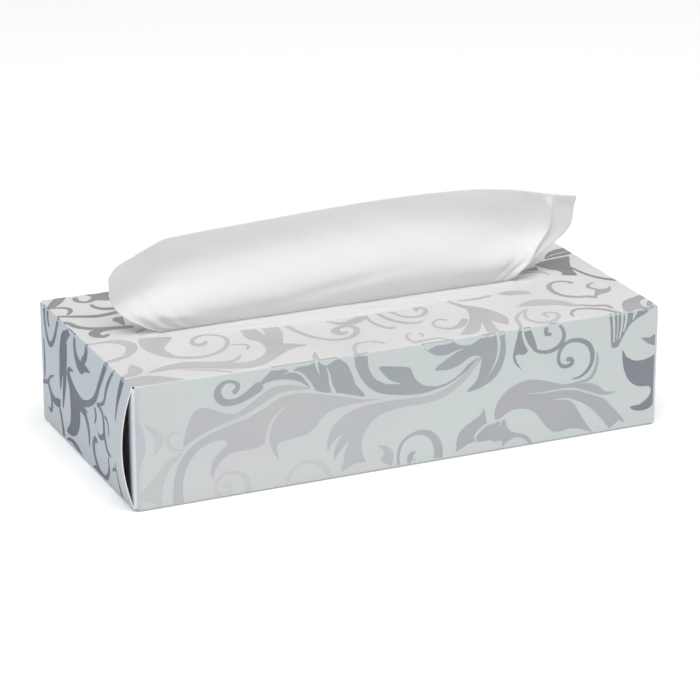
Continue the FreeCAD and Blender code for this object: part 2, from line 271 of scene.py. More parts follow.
def makeFinish(name, colours, **changes):
    finish = {**plainFinish, **changes}
    material, tree, shader = newMaterial(name)
    cloudy = addNoise(tree, finish["cloud"])
    tree.links.new(addRamp(tree, cloudy, 0.36, 0.64, *colours), shader.inputs["Base Color"])
    setShader(shader, roughness=finish["roughness"], metallic=finish["metallic"])
    setShader(shader, coatWeight=finish["coatWeight"], coatRoughness=0.25)
    shader.inputs["Specular IOR Level"].default_value = finish["specular"]
    grain = addNoise(tree, finish["grain"], 2.0)
    addBump(tree, shader, grain, finish["grainStrength"], finish["grainDepth"])
    return material


# each finish of the board: its low and high colour, and what differs from the plain finish
boardFinishes = {
    "mintPearlBoard": (((0.655, 0.658, 0.666), (0.630, 0.694, 0.690)), {"coatWeight": 0.12}),
    "greyBoardBack": (
        ((0.560, 0.555, 0.535), (0.640, 0.635, 0.615)),
        {"roughness": 0.85, "cloud": 60.0, "grain": 1400.0, "grainStrength": 0.35, "specular": 0.2},
    ),
    # white of the cut edges, also used as a painted highlight on one crease
    "cutEdgeAndCreaseHighlight": (
        ((0.86, 0.86, 0.85), (0.93, 0.93, 0.92)),
        {"roughness": 0.8, "cloud": 200.0, "grain": 1800.0, "grainStrength": 0.3, "specular": 0.2},
    ),
    "whitePearlBoard": (((0.630, 0.626, 0.620), (0.682, 0.672, 0.669)), {"roughness": 0.6, "specular": 0.12}),
    # painted shade: a darker, bluer copy of the mint ground for the end facing -x
    "paintedShadeBlueBoard": (((0.510, 0.580, 0.625), (0.560, 0.620, 0.660)), {"coatWeight": 0.12}),
    # painted highlight: bright lavender for the lit strip of the dust flap beside its fold
    "paintedHighlightLavenderBoard": (((0.740, 0.755, 0.860), (0.790, 0.800, 0.880)), {"coatWeight": 0.12}),
}
inks = {
    "mist": ((0.545, 0.585, 0.625), (0.575, 0.610, 0.645)),
    "pale": ((0.590, 0.600, 0.610), (0.630, 0.630, 0.645)),
    "soft": ((0.510, 0.530, 0.548), (0.552, 0.552, 0.572)),
    "middle": ((0.432, 0.450, 0.468), (0.468, 0.468, 0.488)),
    "bluish": ((0.358, 0.402, 0.428), (0.398, 0.422, 0.450)),
    "slate": ((0.280, 0.315, 0.340), (0.320, 0.342, 0.368)),
    "deep": ((0.200, 0.230, 0.260), (0.250, 0.270, 0.300)),
    "top": ((0.445, 0.440, 0.455), (0.495, 0.485, 0.497)),
    "topMiddle": ((0.330, 0.328, 0.340), (0.380, 0.375, 0.388)),
    "topDeep": ((0.180, 0.180, 0.190), (0.240, 0.238, 0.248)),
    # painted shade: the silver ink drawn much darker on both end flaps, for the darker look of the metallic
    # ink there
    "end": ((0.105, 0.126, 0.176), (0.155, 0.174, 0.224)),
}
inkLook = {"roughness": 0.45, "metallic": 0.06, "cloud": 26.0, "specular": 0.4}
inkNames = list(inks)
finishNames = list(boardFinishes)
boardMaterials = [makeFinish(name, colours, **changes) for name, (colours, changes) in boardFinishes.items()]
inkMaterials = [makeFinish(name + "SilverInk", inks[name], **inkLook) for name in inkNames]


# printed carton board: the folded blank with finely divided panels
print("carton board")
boardSettings = {
    "cutStep": 6.0,         # spacing of the rows of points that let a panel bend, in millimetres
    "firstCut": 4.0,        # height of the lowest row
    "endFrom": 112.3,       # the flaps' edges at the two ends lie past this x
    "endWidth": 54.3,       # and inside this y
    "openSide": -114.2,     # the bare back of the left outer flap lies past this x
    "dustFace": (-114.3, -106),     # the loose dust flap's face lies between these x
}


def cutAcross(bm, normal, place):
    geometry = bm.verts[:] + bm.edges[:] + bm.faces[:]
    bmesh.ops.bisect_plane(bm, geom=geometry, plane_co=normal * (place * mm), plane_no=normal, dist=0.000001)


def makeBoard():
    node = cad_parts["carton"]
    bm = bmesh.new()
    bm.from_mesh(node.data)
    bmesh.ops.remove_doubles(bm, verts=bm.verts, dist=0.000002)
    bmesh.ops.dissolve_limit(bm, angle_limit=math.radians(0.5), verts=bm.verts, edges=bm.edges)
    step = boardSettings["cutStep"]
    cuts = [
        (Vector((1, 0, 0)), -halfLength + step, halfLength - 1),
        (Vector((0, 1, 0)), -halfWidth + step, halfWidth - 1),
        (Vector((0, 0, 1)), boardSettings["firstCut"], height - 2),
    ]
    for normal, low, high in cuts:
        for place in np.arange(low, high, step):
            cutAcross(bm, normal, float(place))
    bmesh.ops.triangulate(bm, faces=bm.faces[:])
    bm.normal_update()
    bm.verts.index_update()
    for face in bm.faces:
        face.material_index = finishNames.index(boardSide(face.calc_center_median() / mm, face.normal))
        face.smooth = True
    corners = [[vert.index for vert in face.verts] for face in bm.faces]
    flatPlaces = [vert.co / mm for vert in bm.verts]
    sagPlaces = [boardSag(place) for place in flatPlaces]
    for vert, place in zip(bm.verts, sagPlaces):
        vert.co = place * mm
    mesh = bpy.data.meshes.new("printed_carton")
    bm.to_mesh(mesh)
    bm.free()
    mesh.set_sharp_from_angle(angle=math.radians(35))
    board = makeObject("printed_carton", mesh, boardMaterials)
    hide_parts("carton")
    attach(board, "root")
    return corners, flatPlaces, sagPlaces       # the print is laid on these


def boardSide(centre, normal):
    # the finish of a triangle, from its place in millimetres and the way that it faces
    x, y, z = centre
    outward = centre + normal * 1.5
    atEnd = abs(x) > boardSettings["endFrom"]
    if atEnd and abs(normal.y) > 0.8 and abs(y) < boardSettings["endWidth"]:
        return "cutEdgeAndCreaseHighlight"
    if atEnd and abs(normal.z) > 0.8 and 0.3 < z < 51.3:
        return "cutEdgeAndCreaseHighlight"
    if z > 51.5 and abs(normal.z) < 0.5 and abs(x) < 94 and abs(y) < 18:
        return "cutEdgeAndCreaseHighlight"       # round the cut-out
    if x < boardSettings["openSide"] and normal.x > 0.2:
        return "greyBoardBack"
    if -113.6 < x < -113.2 and y < -54.0:
        return "cutEdgeAndCreaseHighlight"       # painted highlight along the crease beside the open seam, in the white of the cut edge
    # the dust flap's outside beside its fold is drawn bright lavender: a painted highlight
    low, high = boardSettings["dustFace"]
    if low < x < high and y < 0 and normal.x < -0.5:
        return "paintedHighlightLavenderBoard"
    if abs(outward.x) > halfLength or abs(outward.y) > halfWidth or not 0 <= outward.z <= height:
        if normal.z > 0.72:
            return "whitePearlBoard"
        # the end facing -x takes the painted shade copy of the ground; the other sides take the mint ground
        return "paintedShadeBlueBoard" if normal.x < -0.5 else "mintPearlBoard"
    return "greyBoardBack"


boardCorners, boardFlat, boardSagged = makeBoard()


# the printed scroll pattern, drawn flat in millimetres
print("scroll pattern")


drawing = {
    "leafStep": 0.9,        # length of the pieces of a curve, in millimetres
    "strokeStep": 0.8,
    "thinnest": 0.15,       # no stroke is thinner
    "roundFrom": 0.9,       # a stroke that ends wider than this has a round end
    "roundSteps": 6,
}


def curveThrough(points, step):
    # smooth line through the points
    count = len(points)
    made = []
    for index in range(count - 1):
        start, end = points[index], points[index + 1]
        before = points[index - 1] if index > 0 else [2 * s - e for s, e in zip(start, end)]
        after = points[index + 2] if index + 2 < count else [2 * e - s for s, e in zip(start, end)]
        length = math.hypot(end[0] - start[0], end[1] - start[1])
        pieces = max(1, int(round(length / step)))
        for k in range(pieces):
            t = k / pieces
            made.append([
                0.5 * (
                    2 * s + (e - b) * t + (2 * b - 5 * s + 4 * e - a) * t * t
                    + (3 * s - b - 3 * e + a) * t ** 3
                )
                for b, s, e, a in zip(before, start, end, after)
            ])
    made.append(list(points[-1]))
    return made


def readPoints(text):
    return [tuple(float(part) for part in word.split(",")) for word in text.split()]


def leafOutline(text):
    # smooth runs of x,y points; a bar is a sharp corner between two runs
    runs = [readPoints(run) for run in text.split("|") if run.strip()]
    outline = []
    for index, run in enumerate(runs):
        following = runs[(index + 1) % len(runs)][0]
        if run[-1] != following:
            run = run + [following]
        outline += curveThrough(run, drawing["leafStep"])[:-1]
    return outline


def strokeOutline(text):
    # x,y,width points of a swelling stroke
    line = curveThrough(readPoints(text), drawing["strokeStep"])
    left = []
    right = []
    for index, (x, y, width) in enumerate(line):
        ahead = line[min(index + 1, len(line) - 1)]
        behind = line[max(index - 1, 0)]
        dx, dy = ahead[0] - behind[0], ahead[1] - behind[1]
        size = math.hypot(dx, dy) or 1.0
        half = max(width, drawing["thinnest"]) / 2
        left.append([x - dy / size * half, y + dx / size * half])
        right.append([x + dy / size * half, y - dx / size * half])
    cap = []
    endX, endY, endWidth = line[-1]
    if endWidth > drawing["roundFrom"]:
        turn = math.atan2(left[-1][1] - endY, left[-1][0] - endX)
        for k in range(1, drawing["roundSteps"]):
            angle = turn - math.pi * k / drawing["roundSteps"]
            cap.append([endX + endWidth / 2 * math.cos(angle), endY + endWidth / 2 * math.sin(angle)])
    return left + cap + right[::-1]


# front panel: x from the left, y down from the top fold
frontLeaves = [
    "1.5,10.5 | 5.0,18.5 6.1,24.5 5.2,30 | 1.5,37.5 |",
    "5.5,16 10,18.6 13.2,22.8 12.6,25.4 9.3,29.8 | 10,26 9.2,22 7,18.4 |",
    (
        "20.5,28.5 21.4,23.5 22.8,18.8 25,14.8 28,13.1 32,14 37,16.4 42,17.7 47,15.6 53,11.7 58,9 "
        "64,8.9 70,10.3 74,12 | 66,11.4 60,12.1 55,14.5 48,18 41,20.1 33,22.4 26,25.2 |"
    ),
    (
        "46,12.9 53,7.7 58,6.1 64,6.4 70,8.5 75,12.3 80,14.5 86,15.7 92,17.5 97.6,18.8 | 93.6,13.2 "
        "92,8.6 89.6,3.6 85.5,0.6 84,-2 | 57,-2 | 58,1.5 54,5 50,8.5 45.4,11 |"
    ),
    (
        "16,54 | 16.2,46 17.3,39 19,34.5 21.5,30.8 26,27.3 33,24.2 41,22 48,20.3 56,16.8 61,14.2 "
        "67,13.2 74,14 82,16 90,18.4 97,20.4 105,21.3 | 97,21.3 88,21.9 83,22.9 79.3,25.2 76.5,28.7 "
        "72.5,31.2 66,32.2 60.9,32.8 59.8,35.5 60.5,40 | 58,36.2 56.3,32.5 | 51,33.6 45,33.8 40,34.1 "
        "36,36.7 33.6,40 32.6,43.5 | 31.8,41 32.4,37 35,33.4 38.8,30.4 | 39.2,29.4 37.6,28 34,27.8 "
        "30,28.8 26,31.2 23,34.7 21,39.2 20,45 20.2,54 |"
    ),
    "-2,47 | 2,45.4 8,40.6 12,35.6 16,32 20.6,30.4 | 17,33.2 14,36.2 11.6,40.2 10,46 9,54 | -2,54 |",
    (
        "117,23.2 104,23 97,23.4 91,25 86.5,27.6 83.2,31 81.6,35.5 81.5,40 | 82.8,37.6 85.5,35 "
        "88.8,33.6 | 86,36.5 84.7,40 84.2,44.3 | 86.2,41.5 88.5,39 91,37.3 | 89.3,40.5 88.5,45 "
        "88.6,54 | 107.5,54 | 109.7,50 110.3,47 109.5,44 107,42 103,41.3 | 105.4,42.8 106,44.8 "
        "105,47 102,48.4 99,47.9 97.1,45.2 96.2,41 96.6,37 98.2,33.6 101,30.4 105,28 110,26.9 "
        "117,26.4 124,26.4 131,25.4 137,22.8 142,19 146.5,14 149,10.5 | 147,9.8 143,14.5 138,19 "
        "132,22 125,23.4 |"
    ),
    (
        "92.8,-2 | 93.3,5 96,11 100,16 105,19 111,20.6 117,21.6 123,21.9 129,21 135,19.4 141,16 "
        "147,10.5 | 143,12.3 139,16.4 134,19 129,19.7 124,18.6 120.5,16 118.8,13 117.4,9.9 | 114,8.8 "
        "109,7.9 103.8,7.4 | 106,11 109,14 113.6,16.3 | 107,15.3 102.5,12.5 99.6,8 98.7,3 98.6,-2 |"
    ),
    (
        "120.5,-2 | 124,3 129,6.2 134,6.4 138.5,5.6 | 133,8.8 128.4,12.4 | 134,13.3 139,12.1 "
        "143.5,9.4 147,9 149,10.6 | 148.6,15 147,20 142.8,24.3 | 148,23.8 151.6,22.3 155.2,20 "
        "157.7,16.8 159.2,12.6 159.8,8.5 159.4,4 158.2,-2 | 149.8,-2 | 148,2 144,3.9 139.5,3.4 "
        "136.5,1.4 135,-2 |"
    ),
    (
        "165.8,-2 | 164.8,4 163.6,9 163.2,12 164,15 167.2,18.4 | 165,14.8 164.3,11.8 | 166,11.5 "
        "168,11.9 169.8,10.6 | 168,7 166.9,3 166.8,-2 |"
    ),
    "167.4,-2 | 168.2,3.5 170.3,8 174,11.8 | 173.8,9 172.4,5 171,1.6 169.6,-2 |",
    (
        "150.4,32 149.4,35 146,37.2 141.2,40 138.7,43.5 138.2,48 139,54 | 157.5,54 | 160.5,49.4 "
        "164.5,47.7 168,48.5 170.4,50.4 172.2,54 | 173.6,54 | 172,49.8 169.5,47.3 166,46 163,44.7 "
        "160.9,42 160.3,39.4 | 157.5,39.3 155.6,40 | 153.2,40.3 152,39 | 151.3,36 |"
    ),
    (
        "155.6,38.6 | 155.2,36 156.2,32.2 158.5,29 162,26 166.5,24.2 171.5,23.6 177,24.8 183,26.8 "
        "188.5,28.6 194,28.9 199,29.4 203,31.2 206,34 210.6,34.9 | 207,35.7 203.8,35.4 | 206.5,38 "
        "210,42 214,47 217.6,54 | 209.8,54 | 207.5,49.6 203.5,44.6 199,40 194.2,36.7 189.6,34.8 | "
        "192,37.8 194.5,42 197.5,47 202.5,54 | 199.3,50.5 195,48.9 190.5,47.8 186,48.3 182,47.8 "
        "179,45.2 176.6,42 174,38.7 170.5,36.3 166,35.4 161.5,36.2 158,38.2 |"
    ),
    (
        "206.4,-2 | 207.6,6 208.4,14.8 | 211.2,15.2 | 213.5,10.8 216,6.6 219,4.2 223,2.4 227.5,-1 | "
        "222,0.2 219,2 217.2,4.6 | 217.8,-2 |"
    ),
    (
        "213.2,16.8 | 215,20.2 218.5,22.5 222.5,22.8 226.5,21.7 229,20.6 | 229,40 | 228,42 226,44.5 "
        "222.5,45.2 219,44.5 217.4,42.8 | 221.5,42.4 225,40 226.3,37.4 225.6,35 | 223,34.6 "
        "219.8,33.8 216.8,31.3 214.7,27.3 213.5,22 |"
    ),
    "221,13 | 225,13.4 228,12 229.4,11.5 | 229.4,17.3 | 227,17.2 224,15.6 |",
]
frontStrokes = [
    (
        "41.5,8.8,2.0 43.2,7.4,2.2 43.4,5.4,1.8 41,3.9,1.2 38,3.9,1.6 35.6,6,2.6 35.2,9,3.2 "
        "37.5,12,3.0 42,12.6,2.6 47,11,3.2 52,8,4.4"
    ),
    "19.2,22.6,0.6 17,21.5,1.0 15,22.8,1.1 14.8,25.4,1.1 16.4,28.2,1.1 19,29.2,1.0 21,29.2,0.6",
    "20,31,0.5 15.5,35,1.0 12.3,41,1.4 11.2,47,1.6 11,54,1.6",
    (
        "47.4,54,2.8 47.2,47.5,2.6 45,44,1.8 41,42,1.0 37,42.6,1.0 34.2,45.2,1.3 33.8,48.6,1.6 "
        "36,51,1.6 39,50.6,1.8 39.8,48.2,2.2 38,47,2.4"
    ),
    "63.5,54,1.2 64.3,48.6,1.3 67.5,44.6,1.2 72,43,1.3 77,44.3,1.8 81,47.8,2.4 84,54,2.8",
    "68.5,53,2 70.2,50.8,2.6 71.6,53,2",
    (
        "171,8,1.2 174,11.2,1.4 179,12.4,1.6 184,10.8,2.0 186.2,7,1.7 185.4,3.4,1.3 183,0.8,1.1 "
        "180,0.6,1.3 178,2.3,1.7 178.2,4.5,2.0 180,4.8,1.2"
    ),
    (
        "190.5,26.3,0.5 194.5,25.6,1.0 198,22.8,1.5 199.6,18.5,1.9 198.7,13.6,2.2 195.5,10.4,2.0 "
        "191,9.2,1.7 187.2,9.9,1.5 184.7,12.6,1.5 183.9,16.2,1.5 185,19.2,1.6 187.8,20.2,1.8 "
        "190.2,19.2,1.8 190,17.4,1.8 188.4,17.2,2.0"
    ),
    "201.5,16,0.5 202,20,1.2 200.5,25,1.6 198,27.5,1.4 193,28.3,1.0 187,28.5,0.8 183,27.6,0.6",
    (
        "112.8,54,1.2 112.3,47,1.2 114,42,1.3 117.5,39.4,1.3 122,38.6,1.9 126.5,40.2,2.8 "
        "129.3,44,3.6 130.2,48.5,3.8 129.6,54,3.8"
    ),
    "119.6,51.4,2.2 117.6,49.8,2.8 118,47.6,2.2 119.4,46.8,1.2",
    "219,1.6,0.8 224,0.2,1.2 229,-1,1.2",
]
frontGaps = [
    "62.5,4.2,0.3 66,3.5,0.7 70,4.9,1.0 73.4,9,1.2 75.4,12.6,1.6",
    "76.4,-1,1.6 77,3,1.1 78,6.4,0.3",
    "80.8,3.4,0.3 82.2,7,0.9 82.8,11,1.2 84.2,15,2.0",
    "65,17.2,0.3 61.4,19.6,0.9 58.2,23,1.3 56.2,28,1.7 55.4,34.4,2.4",
    "155.2,-2,1.4 156.7,5,1.3 156.3,10.5,1.1 154.6,15,0.8 152.2,18.8,0.3",
    "132,8.4,0.8 136,6.4,1.1 140.6,5,0.4",
    "147,46.4,0.4 146.8,44.2,1.2 148.7,42,1.4 151.6,40.1,1.2 154,38.6,1.0",
    "170.5,29.5,0.3 178,30.1,0.8 186,30,1.0 192,30.9,1.0 197.5,33,1.0 202.5,35.2,0.9 205,36.4,0.9",
    "182,34,0.3 186,34.2,0.7 190,35.2,1.0 193,37,1.0",
    "208.4,-2,1.0 209.2,6,1.0 209.4,13,0.7",
    "212.3,-2,1.0 212.7,5,0.9 211.7,12,0.6",
    "210.6,-2,0.5 210.9,6,0.5 210.6,12,0.4",
    "214.3,-2,1.0 214.4,4,1.0 213.4,9,0.7",
    "160.6,37.4,0.9 158.6,38.9,1.0 157.6,41.6,0.4",
]

# top panel: x from the left, y from the back fold to the front fold
topLeaves = [
    "-2,102.6 | 4,100.8 9,100.5 14,103 18.5,107 22,110 22,111.4 | 10,112.4 -2,111.4 |",
    (
        "10.5,98.6 | 14.5,95.4 20.5,93 27,92.2 33,93.6 38,96 43,97.4 47.5,96.6 51.8,92.8 | 50.6,96 "
        "48,98.8 45.8,100.6 | 50,101.8 55,100.4 59.5,97 62.6,92.5 64,87 63.6,82.4 61.3,78.6 60.6,75 "
        "61.6,71.5 62.6,68 | 77.4,68 | 76.6,76.5 74,83 72.2,88 | 75,89.4 77.5,91.2 80,93.4 | 75.5,94 "
        "71,95.7 66,99.5 60.5,103.7 55,107 49,107.9 43,106.2 36,103 30,100.3 24,98.4 17,98 |"
    ),
    "21,60.5 27,61.5 33.5,63.8 | 31.5,68 28,72.5 26.2,77 27,82.5 | 22.5,82 20,77 18.7,71 19.5,65 |",
    "97,69.6 100,73.5 103,75.5 107,73.8 112,71.4 116.8,69 | 114.5,75 110,78 105,79.5 102,78.5 99,75 |",
    (
        "156.5,76 | 155.8,83 153.2,90 149,97 144.5,102.5 141.2,107 | 145,108.4 149,106.6 152.2,102.5 "
        "154.8,97.6 | 154.2,101.5 152.8,106 151.6,111.5 | 156.4,111.5 | 157.6,106 158.6,101 159.8,97 "
        "| 161.4,101 163.4,104.2 | 165.4,101.5 167,97 166.6,92 165,87 162.2,82 159,78.3 |"
    ),
    "175.6,69.5 | 180,68.6 185,69.3 188.5,71.5 189.5,74.5 | 184,74.4 179,73 |",
    (
        "176,86.5 | 180,84.5 184,82.5 188,82.6 192,84.5 195.5,87.5 198.5,91.5 200,96.5 | 196.5,95.5 "
        "193.5,92.5 190,90.6 185,89.2 180.5,88.2 |"
    ),
    (
        "210.3,92.5 | 211.5,88 214,84.5 216.2,81 | 218.5,82.2 221,82 223.5,80 | 222,84 219.5,86.4 "
        "216,87.4 213,88.8 |"
    ),
    (
        "206.8,43.2 | 211,40.6 216,39.4 221,38.8 226,38.6 | 223.6,44 221,49.5 219,55.5 217.6,62 | "
        "214.6,61.4 211.8,59.2 | 213.4,56.6 212.6,53.4 | 210.4,51.4 209.2,48.4 |"
    ),
    "188.6,61 | 191.5,55.5 196,50.8 201,47.2 206.5,45.4 | 205.4,50 202,54 197.5,57.4 192.5,59.8 |",
    "214,109 | 216,104 219,99.6 223.5,97.4 232,95 | 232,99.2 | 226.5,101 224,105 222.6,111.5 | 214,111.5 |",
    "19.5,1 | 24,2 29.5,1.5 | 28,6 26.5,11.5 | 23,9.8 19.8,8.6 | 21,4.5 |",
    "24.5,33 | 21,32.6 19,35.5 20,39 21.5,43.5 | 23,39 |",
    "8,86.5 | 10.6,91 10.2,95 7,98.5 -2,100.5 | -2,98.6 3,96 5.5,91 |",
    "217.6,33 | 220.5,30.2 225,28 230.5,27.8 | 231,31.5 229.5,35.4 | 225.5,36.6 220,36.9 215.2,37.6 |",
]
topStrokes = [
    (
        "21.5,72,4.6 22.8,79,4.2 26,84.5,3 31,88,2.4 37,89.4,2 43,88,1.9 48.5,84,1.9 52,78.5,1.9 "
        "53,73,1.8 50.5,68.6,1.6 46,66.8,1.5 41.5,69,1.8 39,73,2.2 39.8,76.5,3.0 42.5,76.6,2.6 "
        "44.4,74,1.6"
    ),
    "52,81.5,0.6 56.5,82.5,1.2 58,85,1.4 56.2,89,0.8",
    (
        "80.6,68,2 81.8,76,2.2 84.5,84,2.0 88.5,89.6,2.0 93.5,92.6,2.2 99,92.2,2.4 103.6,88.4,2.7 "
        "105.4,83,2.4 102.8,80,2.2 98.5,80.8,2.6 96.4,84,4 97.4,87,3.6 100,86.4,2.4"
    ),
    "120.3,68,1.8 121,75,2.0 123,81.5,2.3 127,86,2.3 131,87.4,1.7 134,86,0.8",
    "114.8,71,1.4 114.3,80,1.5 116,86,1.9 118.5,88.8,2.3 120.5,88.4,1.2",
    (
        "126,71,2 128,77.5,1.7 132.5,81,1.9 137,80,2.1 140,76.5,2.1 140.2,72.8,1.7 137.4,72.4,2.6 "
        "136.6,74.6,1.6"
    ),
    "152.5,69,1.8 154.8,74.5,2.2 156.8,79,3.4",
    (
        "143.4,89.4,1.8 140.5,87.4,1.3 137.4,89.5,1.3 135.8,93,1.5 137.5,97,1.9 141.5,98.8,2.6 "
        "146.5,96.4,3.4 150,92,3"
    ),
    "157,71.2,0.8 165,71.8,1.9 172,70.8,1.7",
    (
        "178,92.6,1 175.4,96,1.3 173.6,101,1.6 174.8,105.8,1.8 178.5,108.6,2 183,107.6,2 "
        "186.8,103.8,1.9 187,100,1.6 184,98,1.5 182,100,1.9 182.6,102.6,1.5"
    ),
    "166,112,1.3 168.5,104,1.7 170.2,98.5,1.7 174,94.5,1.5 178,91.5,1",
    (
        "211,70.5,2.3 209.5,67.8,1.9 205.5,66.2,1.7 201.5,68,1.9 199,72.5,2.3 198.6,78.5,2.3 "
        "200.6,83.6,2.3 204.5,86.6,2.3 208.5,87.8,2.5 210.8,89.8,2.7"
    ),
    "216.4,81.4,2 214.6,78,1.9 216,75,1.5 219,73.6,1",
    "219.8,52,1.4 220.6,58,1.5 222,64,1.7 224.5,69,2.1 228,73,2.4 232,76,2.4",
    "232,102,3 227,107,2.4 225.5,112,2",
    "200,95.5,1.4 205,98.6,1.8 210,100.8,2.2 211,104,1.8",
    "191.8,107,1 193.4,102.5,1.4 197.5,99.8,1.6 203,101.6,2 207.6,105.4,2.2 211.5,112,2",
    "20.5,7.8,2.6 18.2,9.8,2.3 15.4,9.4,2.3 13.8,7,2.4 14.2,4,2.6",
    "-2,12.5,2.2 1.8,9.8,3.4 5.6,5.2,4.6 10.5,-1,3.6",
    "17.6,13.5,1.4 18,17.4,2.4 20.4,20.6,3.0 26,22.4,3.6",
    "-2,21.5,1.6 4,24,2.2 9.5,26.4,2.8 14.5,28.2,3.2 19.5,28,3.0 25.5,26.6,3.2",
    "1.5,11.8,1.2 5.6,12.8,2.0 7.6,15.4,2.2 7,18.8,1.8 4.8,21.8,1.2",
    "-2,28.5,1.6 1.6,32,2.4 3,36.6,2.8 5.6,40,3.0 10,42.6,3.2 15.5,44.4,3.6 23,45.8,3.2",
    "16,44.6,3.0 11,44.9,3.8 7.4,47,4.8 7,50.4,4.2 9.4,52.4,2.8 11.6,51,1.8",
    "-2,58,0.8 3,58.8,1.3 8,58.8,2.4 13,61,4.5 15.6,66,5 13.8,72,4.2 10,76.5,3 5,79.4,2.5 -2,81.4,2.6",
    "24,99.5,0.6 32,103.4,0.9 38,107,0.9 43,111.5,0.9",
    "76.6,111.5,2.4 77.6,107,2.4 79.6,102,0.8",
    "93.4,111.5,1.6 95.6,104,1.6 98.6,100,1.5 103,99.6,1.0",
    "120,107.4,1.4 119.6,103,1.4 121,98.6,1.2 124,97,0.8",
    "119.6,108,2 125,107,2 131,107,1.6 134,110,1",
    "126.4,98.4,1 127,101,1.3 125.6,103,0.8",
    "104,99.6,0.8 107.6,101.4,1.6 108.6,104,1.0",
]
topGaps = [
    "69.3,67,2.4 69.2,72,1.8 68.8,76.5,0.4",
    "20,97.6,0.3 30,101.6,0.5 40,106.4,0.3",
    "216.5,36.2,0.4 221,33.8,0.8 226.5,32.6,0.8 230.6,31.4,0.4",
]

# left end: x from the back edge to the front edge, y down from the top fold
endLeaves = [
    (
        "34.6,18.5 | 36.2,24 37,30 37,36.5 35.6,41.5 31,46.8 | 37,46.8 42,44.8 46,41 48,36.5 48.6,32 "
        "52,30.4 58,29.3 | 50,28 43,26.4 38,22.6 |"
    ),
]
endStrokes = [
    "12.5,7.5,1.6 10.6,4,2.2 10.4,-2,2.6",
    "6,-2,2.4 6.6,6,2.4 9.5,12,2.4 13.5,14.6,2.4 17.5,12.6,2.4 20.5,8,2.2 22.5,3,2.2 26,-2,2.2",
    "5,15,1.4 5.6,22,2.3 5.4,28,2.3 4.4,32.5,1.2",
    "43,-2,3 36,2.6,3.2 31,6.5,6 29.6,12,7.4 28.6,18,5.8 27,24,3.4 26.2,29.5,1.2",
    "33,8,3 32.4,16,3.4 31.4,24,3.6 29.8,31,2.6 28,37.4,1.0",
    "44,-2,2 43.6,6,2.8 46,10.5,4.6 50,12.4,5.6 54.5,11.2,3.6 61.5,10.8,0.6",
    "58.5,-2,3 57,5,3.2 53,9,3.4",
    (
        "82.5,-2,3.4 77.5,6,3.2 73,12.5,3.2 67.5,19.5,3.1 60,24.3,2.8 52,27,3 45,26.5,4.2 39,24,5 "
        "36,20.4,3.6 37,17.6,2 41,17.2,0.8"
    ),
    "49.5,31,1.8 54,31.2,2.8 57,34.4,3.1 58.4,38.6,2.4 58.4,43.4,0.8",
    "91,-1,1 86.5,4.5,1.9 83,10,2.5 80.5,16,1.9 76,19,1.5 70,20.8,0.8",
    "70,21.5,0.8 75,21.2,1.7 79,23.5,2.5 79.8,28,3.1 80.6,32,3.1 83.6,35.8,2.5 88,36.4,1.4",
    "81,22.2,1.2 85,22.4,1.5 87.6,25,1.7 86.5,28.5,0.8",
    "79.6,30.6,2.5 76,33,2.3 72.5,34,1.9 70.5,33,1",
    (
        "69,37.4,1.8 65.6,37.6,2.7 63.8,41,2.9 65,45.4,2.5 69,49,2.3 75,50.4,2.3 80.4,48,2.1 "
        "83.6,43.5,1.9 84,38.6,1.2"
    ),
    "60,54,2.2 66,50.4,3.2 72,53.4,3",
    "67,23.5,1.9 68.2,27,2.1 66,30.8,0.9",
    "-2,36.4,1.4 5,34,1.9 10,32.2,2.1 13.5,29,1.3 18,27,0.8",
    "10.5,33,2.5 13.5,37,3.5 13.8,41,2.3 11.5,44.6,2 8.5,44.4,1",
    "13,36.4,3.1 18.5,38,3.5 23,37,3.7 24.6,35.6,1.4",
    "23.5,38.5,1.7 25.5,44,2.1 26.4,50,2.5 26,54,2.5",
    "-2,50.4,2.4 4,54,2",
    "30,50.6,0.8 36,49,1.7 43,49.6,2.5 49,51.6,1.6",
    "99.6,-2,3.8 98.8,6,3.8 98.3,12,2.3 98.4,17.6,0.9",
    "89,42.4,0.8 92,40.2,1.5 96,39.6,1.2",
    "95.6,36,1 96,44,1.9 96.4,54,2.3",
]

printSettings = {
    "lift": 0.05,           # how far the ink stands off the board
    "gridStep": 5.0,        # spacing of extra points on the flat parts
    "topStep": 3.0,         # across the top
    "bowStep": 2.6,         # on the bowed end
    "endGrid": 51.8,        # how far the points reach past the top's folds at the ends and the front
    "backGrid": 51.5,       # and at the back
    "foldRows": (-0.9, -0.45, 0.0, 0.45, 0.9),      # rows of points across each fold
    "foldReach": 1.5,
    "foldClear": 1.6,       # other rows keep this far from a fold
    "panelFrom": 2.0,       # the first row of a panel below its fold
    "past": 60.0,           # anything more than the height of a side panel
    "sideMargin": 2.6,      # the ink on the front and back ends this far inside their two ends
    "flapMargin": 1.25,     # the ink on an end flap ends this far inside the carton's sides
    "flapReach": 50.8,      # and this far below the top
    "frontReach": 51.7,     # the ink on the front ends this far below the top
    "backReach": 51.6,      # and on the back
    "cutoutMargin": 0.25,   # no ink comes closer to the cut-out
    "pressFrom": 8.0,       # the print is pressed onto the board from this far out
    "pressDepth": 9.5,      # over this distance
    "longest": 12.0,        # no triangle of ink is longer
}


def onFront(x, y):
    return x, y


def onTop(x, y):
    return x, y - carton["width"]


def onTopTurned(x, y):
    return carton["length"] - x, -y


def onLeftEnd(x, y):
    return -y, x - carton["width"]


def onRightEnd(x, y):
    return carton["length"] + y, x - carton["width"]


def onBack(x, y):
    return carton["length"] - x, -carton["width"] - y


# the panel of the blank that each placing may print on: u and v, low and high
across, down, past = carton["length"], carton["width"], printSettings["past"]
margin = printSettings["sideMargin"]
panelOf = {
    onFront: (margin, across - margin, 0, past),
    onTop: (0, across, -down, 0),
    onTopTurned: (0, across, -down, 0),
    onLeftEnd: (-past, 0, -down, 0),
    onRightEnd: (across, across + past, -down, 0),
    onBack: (margin, across - margin, -down - past, -down),
}


def placed(outline, placing):
    return np.array([placing(x, y) for x, y in outline])


